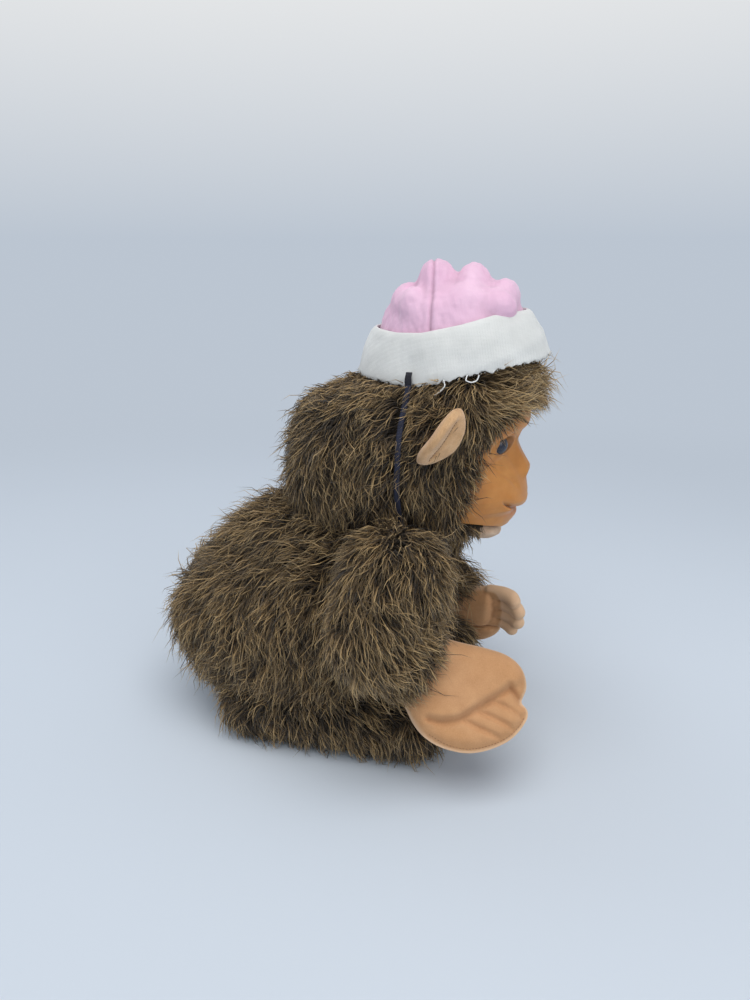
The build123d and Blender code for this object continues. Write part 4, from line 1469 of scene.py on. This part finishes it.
def build_mitt(side, outline, grooves, padding, seed, rolls=()):
    """Padded hand."""
    name = side + "_hand_mitt"
    outline = round_corners(outline)
    ob = slab(name, outline, SLAB_THICK, MITT_VOXEL)
    x, y, z = coords(ob).T
    flat = np.stack([x, y], 1)
    inset = np.maximum(depth_inside(flat, outline), 0)
    deep = np.zeros(len(flat))
    for path, depth, width in grooves:
        off, _ = line_distance(flat, round_corners(path, closed=False))
        deep = np.maximum(deep, depth * bell(off, width))
    thick, rim = padding(x, y)
    height = thick * dome(np.maximum(inset - rim, 0) / (thick * 1.25))
    height = np.maximum(height, 0.55 + 0.35 * smooth(0, 0.8, inset))
    z = padded(z, np.maximum(height * (1 - deep), 0.5), height * (1 - 0.45 * deep) * 0.85,
               SLAB_THICK)
    wrinkle = noise(columns(x, y, 0.0), 15, seed=seed)
    z = z + np.sign(z) * wrinkle * 0.35 * smooth(0.5, 3, height)
    set_coords(ob, np.stack([x, y, z], 1))
    relax(ob, 3)
    puff(ob, pressure=2.0, cap=1.6,
         pin=np.clip(deep * 1.2 + (1 - smooth(0.5, 2.5, inset)), 0, 1))
    if rolls:
        pieces = [mesh_shape(ob)]
        for points, radii in rolls:
            roll = tube("tmp", points, radii, BACKING, around=24, rings=20)
            pieces.append(mesh_shape(roll))
            discard(roll)
        palm = ob
        ob = mesh(name, *join(pieces))
        discard(palm)
        ob.name = name
        remesh(ob, MITT_VOXEL * 0.9)
        relax(ob, 3)
        inset = np.maximum(depth_inside(coords(ob)[:, :2], outline), 0)
        deep = np.clip(hollowness(ob, 6)[1] / 0.32, 0, 0.95)
    points = coords(ob)
    # painted shade in the grooves, strong on the back of the hand and weak on the palm
    hollow = np.where(points[:, 2] > -1, np.clip(deep * 1.05, 0, 1) ** 2.2, 0.2 * deep)
    placement = hand_placement(side)
    set_coords(ob, placed(points, placement))
    set_material(ob, VELOUR)
    paint(ob, hollow=hollow, rim=0.8 * (1 - smooth(0.3, 1.6, inset)))
    refine(ob)
    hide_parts(*(side + part for part in ("_hand_palm", "_hand_back", "_hand_stuffing",
                                               "_thumb", "_fingers")))
    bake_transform(ob)
    return ob


right_mitt = build_mitt("right", RIGHT_OUTLINE, RIGHT_GROOVES, right_padding, seed=51)
left_mitt = build_mitt("left", LEFT_OUTLINE, LEFT_GROOVES, left_padding, seed=52,
                       rolls=LEFT_FINGERS)
stitch_on("right_tip_stitches", right_mitt, round_corners(RIGHT_TIP_SEAM, closed=False),
          hand_placement("right"), "right_finger_row", radius=0.17, dash=1.7)
stitch_on("left_palm_stitches", left_mitt, round_corners(LEFT_SEAM, closed=False),
          hand_placement("left"), "left_hand", radius=0.22, dash=2.0)

# ----------------------------------------------------------------------- ears
EAR_HALF_LONG, EAR_HALF_WIDE, EAR_THICK = 17.8, 10.6, 4.0


def fold_y(x):
    """The ear's lengthwise fold in its own plane."""
    return 0.4 + 0.8 * np.sin(x / 9.0)


def build_ear(side):
    sign = SIGN[side]
    front_low, front_high = cad_box(side + "_ear_front")
    back_low, back_high = cad_box(side + "_ear_back")
    centre = (np.minimum(front_low, back_low) + np.maximum(front_high, back_high)) / 2
    long = unit([0, -0.57, 0.82])
    out = unit([sign * 0.54, -0.69, -0.48])
    placement = (centre, long, np.cross(out, long) * -sign, out)
    angle = turn(40)
    outline = np.stack([EAR_HALF_LONG * np.cos(angle), EAR_HALF_WIDE
                        * np.sign(np.sin(angle)) * np.abs(np.sin(angle)) ** 1.1], 1)
    ob = slab(side + "_ear_leaf", outline, EAR_THICK, 1.1)
    x, y, z = coords(ob).T
    inset = np.maximum(depth_inside(np.stack([x, y], 1), outline), 0)
    crease = bell(y - 0.4 - 0.8 * np.sin(x / 9.0), 1.1) * (1 - smooth(11, 15, np.abs(x)))
    height = 3.1 * dome(inset / 4.2) + 0.5
    cup = 0.030 * y ** 2 - 0.006 * x ** 2
    z = padded(z, height * (1 - 0.50 * crease), height * 0.8, EAR_THICK) + cup
    points = np.stack([x, y, z], 1)
    points[:, 2] += 0.25 * noise(points, 12, seed=61)
    set_coords(ob, points)
    relax(ob, 2)
    puff(ob, pressure=2.0, cap=1.2,
         pin=np.clip(crease + (1 - smooth(0.4, 2.0, inset)), 0, 1))
    points = coords(ob)
    set_coords(ob, placed(points, placement))
    set_material(ob, EAR_FLEECE)
    # painted shade in the front fold and round the edge
    paint(ob, hollow=(np.where(points[:, 2] > 0, 0.50 * crease ** 3, 0)
                      + 0.20 * (1 - smooth(0.2, 1.2, inset))))
    refine(ob)
    attach(ob, side + "_ear", "ear_fleece", side + "_ear_front", side + "_ear_back")
    stitch_on(side + "_ear_fold_stitch", ob, [(x, fold_y(x)) for x in range(-13, 14)],
              placement, side + "_ear", lift=0.05, radius=0.2, dash=1.6, gap=0.3)


for side in SIDES:
    build_ear(side)


# ----------------------------------------------------------------- chin patch
def build_chin():
    """Flattened fleece cushion that rises towards both sides."""
    around, rows = ((64, 36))
    half_x, half_y, half_z = 25.0, 15.5, 8.2
    centre_y = -59.5
    a = turn(around)
    down = (math.pi * (np.arange(rows) + 0.5) / rows)[:, None]
    x = half_x * np.sin(down) * np.cos(a)
    y = centre_y + half_y * np.sin(down) * np.sin(a)
    z = 129.0 + half_z * np.cos(down) + 0.22 * (y - centre_y)
    z = z + 6.5 * (np.abs(x) / half_x) ** 2
    points = columns(x, y, z).reshape(-1, 3)
    points = points + (unit(points - np.array([0, centre_y, 127]))
                       * (0.7 * noise(points, 13, seed=71))[:, None])
    ob = ring_mesh("chin_patch_fleece", points.reshape(rows, around, 3), CHIN_FLEECE)
    remesh(ob, 1.5)
    puff(ob, pressure=2.0, cap=1.2)
    # painted shade over the top of the patch, under the mask
    paint(ob, hollow=0.5 * smooth(128, 133, coords(ob)[:, 2]))
    attach(ob, "head", "chin_fleece", "chin_patch")


build_chin()

# ------------------------------------------------------------------------ hat
HAT_X = np.array([1.0, 0, 0])
crown_tops = [cad_box(part)[1][2] for part in ("hat_crown_front", "hat_crown_back")]
HAT_ORIGIN = np.array([0.0, -44.5, sum(crown_tops) / 2 - 56.0])
HAT = (HAT_ORIGIN, HAT_X, np.cross(HAT_UP, HAT_X), HAT_UP)

# core of the crown: z, half x, half y
CROWN_CORE = np.array([
    (10, 38.5, 43.0), (13, 38.0, 42.5), (18, 36.5, 41.0), (24, 34.8, 39.0), (29, 33.4, 37.0),
    (34, 31.0, 34.0), (38, 27.5, 30.0), (42, 21.5, 23.5), (44.5, 13, 14.5), (45.3, 3, 3)])
# gathered puffs over it: centre, half sizes
CROWN_PUFFS = [
    ((-3, 21, 33.5), (22, 9.5, 12.0)), ((-2, 5.5, 41.0), (21, 11.0, 15.5)),
    ((0, -13.5, 39.5), (20.5, 9.5, 12.6)), ((-1, -29.5, 32.8), (19, 8.3, 10.3)),
    ((-22, 15.0, 32.0), (8.5, 8.0, 12.0)), ((-19.0, -9.0, 30.5), (12.0, 15.0, 12.5)),
    ((-17.0, -26.0, 27.5), (11.0, 11.0, 11.0)), ((22, 14, 33.0), (10.5, 10.0, 13.0)),
    ((23.0, -5, 32.0), (10.5, 10.0, 13.5)), ((20, -23, 29.5), (11, 9.5, 11.5))]


def blob(centre, half, seed):
    """Slightly uneven ellipsoid."""
    around = 28
    angle = turn(around)
    a = np.linspace(0.05, math.pi - 0.05, around // 2)[:, None]
    rings = columns(centre[0] + half[0] * np.sin(a) * np.cos(angle),
                    centre[1] + half[1] * np.sin(a) * np.sin(angle),
                    centre[2] - half[2] * np.cos(a))
    flat = rings.reshape(-1, 3)
    flat = flat + (unit(flat - np.array(centre))
                   * (0.8 * noise(flat, 24, seed=seed, octaves=2))[:, None])
    return ring_grid(flat.reshape(rings.shape))


def build_crown():
    """Gathered cloth standing in soft puffs that meet in creases."""
    z, half_x, half_y = (column[:, None] for column in CROWN_CORE.T)
    angle = turn(80)
    core = columns(half_x * np.cos(angle), half_y * np.sin(angle) - 0.5, z)
    puffs = [blob(*shape, seed=80 + i) for i, shape in enumerate(CROWN_PUFFS)]
    crown = mesh("hat_crown_jersey", *join([ring_grid(core)] + puffs), PINK)
    remesh(crown, 1.5)
    relax(crown, 9)
    local = coords(crown)
    set_coords(crown, placed(local, HAT))
    puff(crown, pressure=2.4, cap=2.2, pin=np.clip(1 - smooth(9, 14, local[:, 2]), 0, 1))
    refine(crown)
    points = coords(crown)
    local = (points - HAT_ORIGIN) @ np.stack(HAT[1:], 1)
    normals, sunk = hollowness(crown, 14)
    # one seam runs from side to side over the top
    x, y, z = local.T
    off = np.abs(y - (8.0 + 2.5 * np.sin(x / 17.0) - 0.05 * (z - 30)))
    seam = bell(off, 0.75)
    wrinkle = (0.28 * noise(local, 11, seed=88)
               + 0.22 * noise(local * [1, 1, 0.4], 6, seed=89, octaves=2))
    points = (points - normals * (1.25 * seam)[:, None]
              + normals * (0.35 * bell(off - 2.6, 1.3) + wrinkle)[:, None])
    set_coords(crown, points)
    # painted shade in the creases between the puffs and along the seam
    paint(crown, hollow=0.60 * np.clip(sunk / 0.55, 0, 1) + 0.55 * seam)
    attach(crown, "hat", "hat_pink", "hat_crown_front", "hat_crown_back")


# the cuff's edge heights by the sine of the angle round it (-1 front, 1 rear)
CUFF_LOW = np.array([(-1, 2.0), (-0.65, 1.5), (-0.36, 0.0), (-0.1, -2.2), (0.22, -4.1),
                     (0.44, -3.9), (0.75, -1.0), (1, 2.2)])
CUFF_TOP = np.array([(-1, 26.6), (-0.62, 26.4), (-0.24, 23.6), (0.24, 21.2), (0.6, 21.8),
                     (1, 24.6)])
# the band's section: share of its height, distance outward
CUFF_SECTION = np.array([
    (0.0, 0.0), (0.0, 0.9), (0.06, 1.25), (0.28, 1.7), (0.5, 2.1), (0.72, 2.2), (0.90, 2.1),
    (0.97, 1.5), (1.0, 0.6), (0.98, -0.3), (0.9, -0.7), (0.6, -0.6), (0.3, -0.6),
    (0.08, -0.6), (0.0, -0.5)])


def build_cuff():
    """Soft turned-up band with a rolled top and a cut lower edge."""
    around = 420
    section = [a * (1 - t) + b * t
               for a, b in zip(CUFF_SECTION[:-1], CUFF_SECTION[1:]) for t in (0, 0.5)]
    share, out = np.array(section + [CUFF_SECTION[-1]]).T
    ragged = np.random.default_rng(91).normal(0, 1, around)
    ragged = np.convolve(np.r_[ragged[-2:], ragged, ragged[:2]], [0.2, 0.5, 1, 0.5, 0.2],
                         "same")[2:-2] / 1.3
    angle = turn(around)[:, None]
    c, s = np.cos(angle), np.sin(angle)
    outward = unit(columns(c / 45.0, s / 50.0))
    bulge = out + 0.9 * np.sin(math.pi * share) * np.where(out > 0, 1, 0.8)
    x = 45.6 * c * (1 - share) + 36.3 * c * share + outward[..., 0] * bulge
    y = 51.4 * s * (1 - share) + 40.2 * s * share + outward[..., 1] * bulge
    z = look_up(CUFF_LOW, s) * (1 - share) + look_up(CUFF_TOP, s) * share
    z = z - np.where(share < 0.06, 0.55 * ragged[:, None], 0.0)
    points = columns(x, y, z).reshape(-1, 3)
    x, y, z = points.T
    # soft wrinkles and one slanting fold
    wrinkle = (noise(points * [1, 1, 1.6], 26, seed=92) * 0.55
               + 0.7 * bell(z - (8 + 9 * np.sin(np.arctan2(y, x) + 2.2)), 2.2))
    points = points + unit(columns(x, y, 0.0)) * (wrinkle * smooth(0.5, 5, z + 3))[:, None]
    n = len(share)
    faces = []
    for i in range(around):
        here, there = i * n, ((i + 1) % around) * n
        for j in range(n):
            k = (j + 1) % n
            faces.append((here + j, there + j, there + k, here + k))
    cuff = mesh("hat_cuff_jersey", placed(points, HAT), faces, WHITE)
    bm = bmesh.new()
    bm.from_mesh(cuff.data)
    bmesh.ops.recalc_face_normals(bm, faces=bm.faces)
    bm.to_mesh(cuff.data)
    bm.free()
    # painted shade along the lower edge
    paint(cuff, hollow=np.tile(np.interp(share, [0, 0.06, 1], [0.30, 0.0, 0.0]), around))
    refine(cuff)
    attach(cuff, "hat", "hat_white", "hat_cuff")


def cuff_edge(angle, out, rise):
    """Place at the cuff's lower edge, moved outward and up."""
    c, s = math.cos(angle), math.sin(angle)
    return placed(np.array([[45.2 * c + out * c, 51.0 * s + out * s,
                             look_up(CUFF_LOW, s) + rise]]), HAT)[0]


def loose_thread(name, start, offsets):
    points = [start] + [start + offset for offset in offsets]
    ob = tube(name, points, [0.32] * len(points), WHITE_THREAD, around=8,
              rings=5 * len(points))
    attach(ob, "hat", "thread")


def frayed_edge():
    """Short fibres along the cuff's lower edge."""
    rng = np.random.default_rng(95)
    fibres = []
    for _ in range(520):
        angle = rng.uniform(0, 2 * math.pi)
        root = cuff_edge(angle, rng.uniform(0.2, 2.4), rng.uniform(-0.2, 0.8))
        along = unit(np.array([math.cos(angle) * 0.5, math.sin(angle) * 0.5, -0.9])
                     + rng.normal(0, 0.7, 3))
        length = rng.uniform(0.8, 2.2)
        side = unit(np.cross(along, rng.normal(size=3)))
        ring = circle(root, side, np.cross(along, side), 0.11, 3)
        fibres.append((np.vstack([ring, root + along * length]),
                       [(2, 1, 0), (0, 1, 3), (1, 2, 3), (2, 0, 3)]))
    attach(mesh("cuff_frayed_edge", *join(fibres), WHITE_THREAD), "hat", "hat_white")


build_crown()
build_cuff()
loose_thread("cuff_loose_thread_a", cuff_edge(math.pi + 0.02, out=2.0, rise=0.8),
             [[-1.5, -1.0, -2.5], [-1.0, 1.5, -5.5], [-0.8, 4.2, -7.2]])
loose_thread("cuff_loose_thread_b", cuff_edge(math.pi + 0.24, out=2.0, rise=0.6),
             [[-1.8, 0.6, -2.2], [-1.4, -2.4, -3.2], [-1.0, -5.0, -2.2], [-0.4, -5.8, 0.2]])
frayed_edge()

# ---------------------------------------------------------------------- strap
# section: share of the half width, distance outward
STRAP_SECTION = [(-1, -0.4), (-0.5, -0.55), (0.5, -0.55), (1, -0.4),
                 (1, 0.4), (0.5, 0.55), (-0.5, 0.55), (-1, 0.4)]


def build_strap():
    lengths = run_lengths(STRAP_LINE)
    at = np.linspace(0, lengths[-1], 160)
    line = resample(STRAP_LINE, lengths, at)
    soften(line, 26)
    line[:, 0] += np.sign(line[:, 0]) * 2.6 * smooth(10, 40, np.abs(line[:, 0]))
    line[[0, -1], 2] += 2.0
    along = unit(np.gradient(line, axis=0))
    out = unit(columns(line[:, 0], 0.0, 0.35 * (line[:, 2] - 172)))
    out = unit(out - along * np.sum(out * along, 1, keepdims=True))
    side = np.cross(along, out)
    half = 1.45 * (1 + 0.06 * np.sin(at * 1.3))
    rings = np.stack([line + side * (half * a)[:, None] + out * b
                      for a, b in STRAP_SECTION], 1)
    strap = ring_mesh("chin_strap_elastic", rings, ELASTIC)
    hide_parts("chin_strap")
    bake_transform(strap)


def build_bartack(side):
    """Dense dark stitches over the cuff's edge where the strap's end sits."""
    low, high = cad_box("strap_bartacks")
    sign = SIGN[side]
    centre = np.array([sign * (high[0] + 0.9), (low[1] + high[1]) / 2,
                       (low[2] + high[2]) / 2 - 2.6])
    pieces = []
    for i in range(9):
        y = -1.3 + 2.6 * i / 8
        zigzag = 0.5 * (-1) ** i
        points = [centre + [sign * -1.6, y, 4.4], centre + [sign * 0.1, y + zigzag * 0.3, 2.6],
                  centre + [sign * 0.4, y + zigzag, 0], centre + [0.0, y, -2.6],
                  centre + [sign * -1.8, y, -3.6]]
        stitch = tube("tmp", points, [0.34] * 5, DARK_THREAD, around=7, rings=12)
        pieces.append(mesh_shape(stitch))
        discard(stitch)
    ob = mesh(side + "_bartack_stitches", *join(pieces), DARK_THREAD)
    attach(ob, "hat", "thread", *(["strap_bartacks"] if side == "right" else []))


build_strap()
for side in SIDES:
    build_bartack(side)


# ------------------------------------------------------------ stage and light
def build_floor():
    half = 6.0
    data = bpy.data.meshes.new("floor")
    bm = bmesh.new()
    bm.faces.new([bm.verts.new((x * half, y * half, 0))
                  for x, y in ((-1, -1), (1, -1), (1, 1), (-1, 1))])
    bm.to_mesh(data)
    bm.free()
    floor = link("floor", data)
    data.materials.append(floor_material())


def aim(ob, location, backward):
    """Place an object so that it looks away from the backward direction."""
    ob.location = Vector(location)
    ob.rotation_euler = Vector(backward).to_track_quat("Z", "Y").to_euler()


def build_camera():
    azimuth, elevation = math.radians(-77), math.radians(18)
    target = np.array([0, 0, 0.137])
    distance = 0.450
    backward = np.array([math.sin(azimuth) * math.cos(elevation),
                         -math.cos(azimuth) * math.cos(elevation), math.sin(elevation)])
    data = bpy.data.cameras.new("camera")
    camera = link("camera", data)
    aim(camera, target + backward * distance, backward)
    data.sensor_fit = "VERTICAL"
    data.sensor_height = 36.0
    data.lens = 27.072
    data.clip_start = 0.01
    data.clip_end = 50
    bpy.context.scene.camera = camera


def area_light(name, location, target, size, power, colour):
    data = bpy.data.lights.new(name, "AREA")
    data.shape = "RECTANGLE"
    data.size, data.size_y = size
    data.energy = power
    data.color = colour
    aim(link(name, data), location, Vector(location) - Vector(target))


def build_world():
    """Plain sky light; the camera sees a soft vertical fade instead."""
    world = bpy.data.worlds.new("studio")
    bpy.context.scene.world = world
    world.use_nodes = True
    tree = world.node_tree
    light = tree.nodes["Background"]
    set_inputs(light, Color=(0.80, 0.86, 0.95, 1), Strength=0.52)
    seen = tree.nodes.new("ShaderNodeBackground")
    place = tree.nodes.new("ShaderNodeTexCoord")
    split = tree.nodes.new("ShaderNodeSeparateXYZ")
    tree.links.new(place.outputs["Generated"], split.inputs[0])
    fade = ramp(tree, split.outputs[2], [(0.02, HORIZON), (0.30, (0.80, 0.81, 0.815))])
    tree.links.new(fade, seen.inputs[0])
    path = tree.nodes.new("ShaderNodeLightPath")
    blend = tree.nodes.new("ShaderNodeMixShader")
    tree.links.new(path.outputs["Is Camera Ray"], blend.inputs[0])
    tree.links.new(light.outputs[0], blend.inputs[1])
    tree.links.new(seen.outputs[0], blend.inputs[2])
    tree.links.new(blend.outputs[0], tree.nodes["World Output"].inputs[0])


build_floor()
build_camera()
area_light("key_top", location=(-0.45, -0.15, 1.35), target=(0, 0, 0.1), size=(1.2, 1.2),
           power=12.5, colour=(1.0, 0.985, 0.96))
area_light("fill_front", location=(-0.9, -1.1, 0.65), target=(0, 0, 0.12), size=(1.0, 0.8),
           power=3.6, colour=(0.97, 0.985, 1.0))
area_light("rim_back", location=(0.5, 1.1, 0.8), target=(0, 0, 0.12), size=(0.9, 0.8),
           power=3.0, colour=(0.95, 0.97, 1.0))
build_world()
bpy.context.scene.view_settings.view_transform = "Standard"
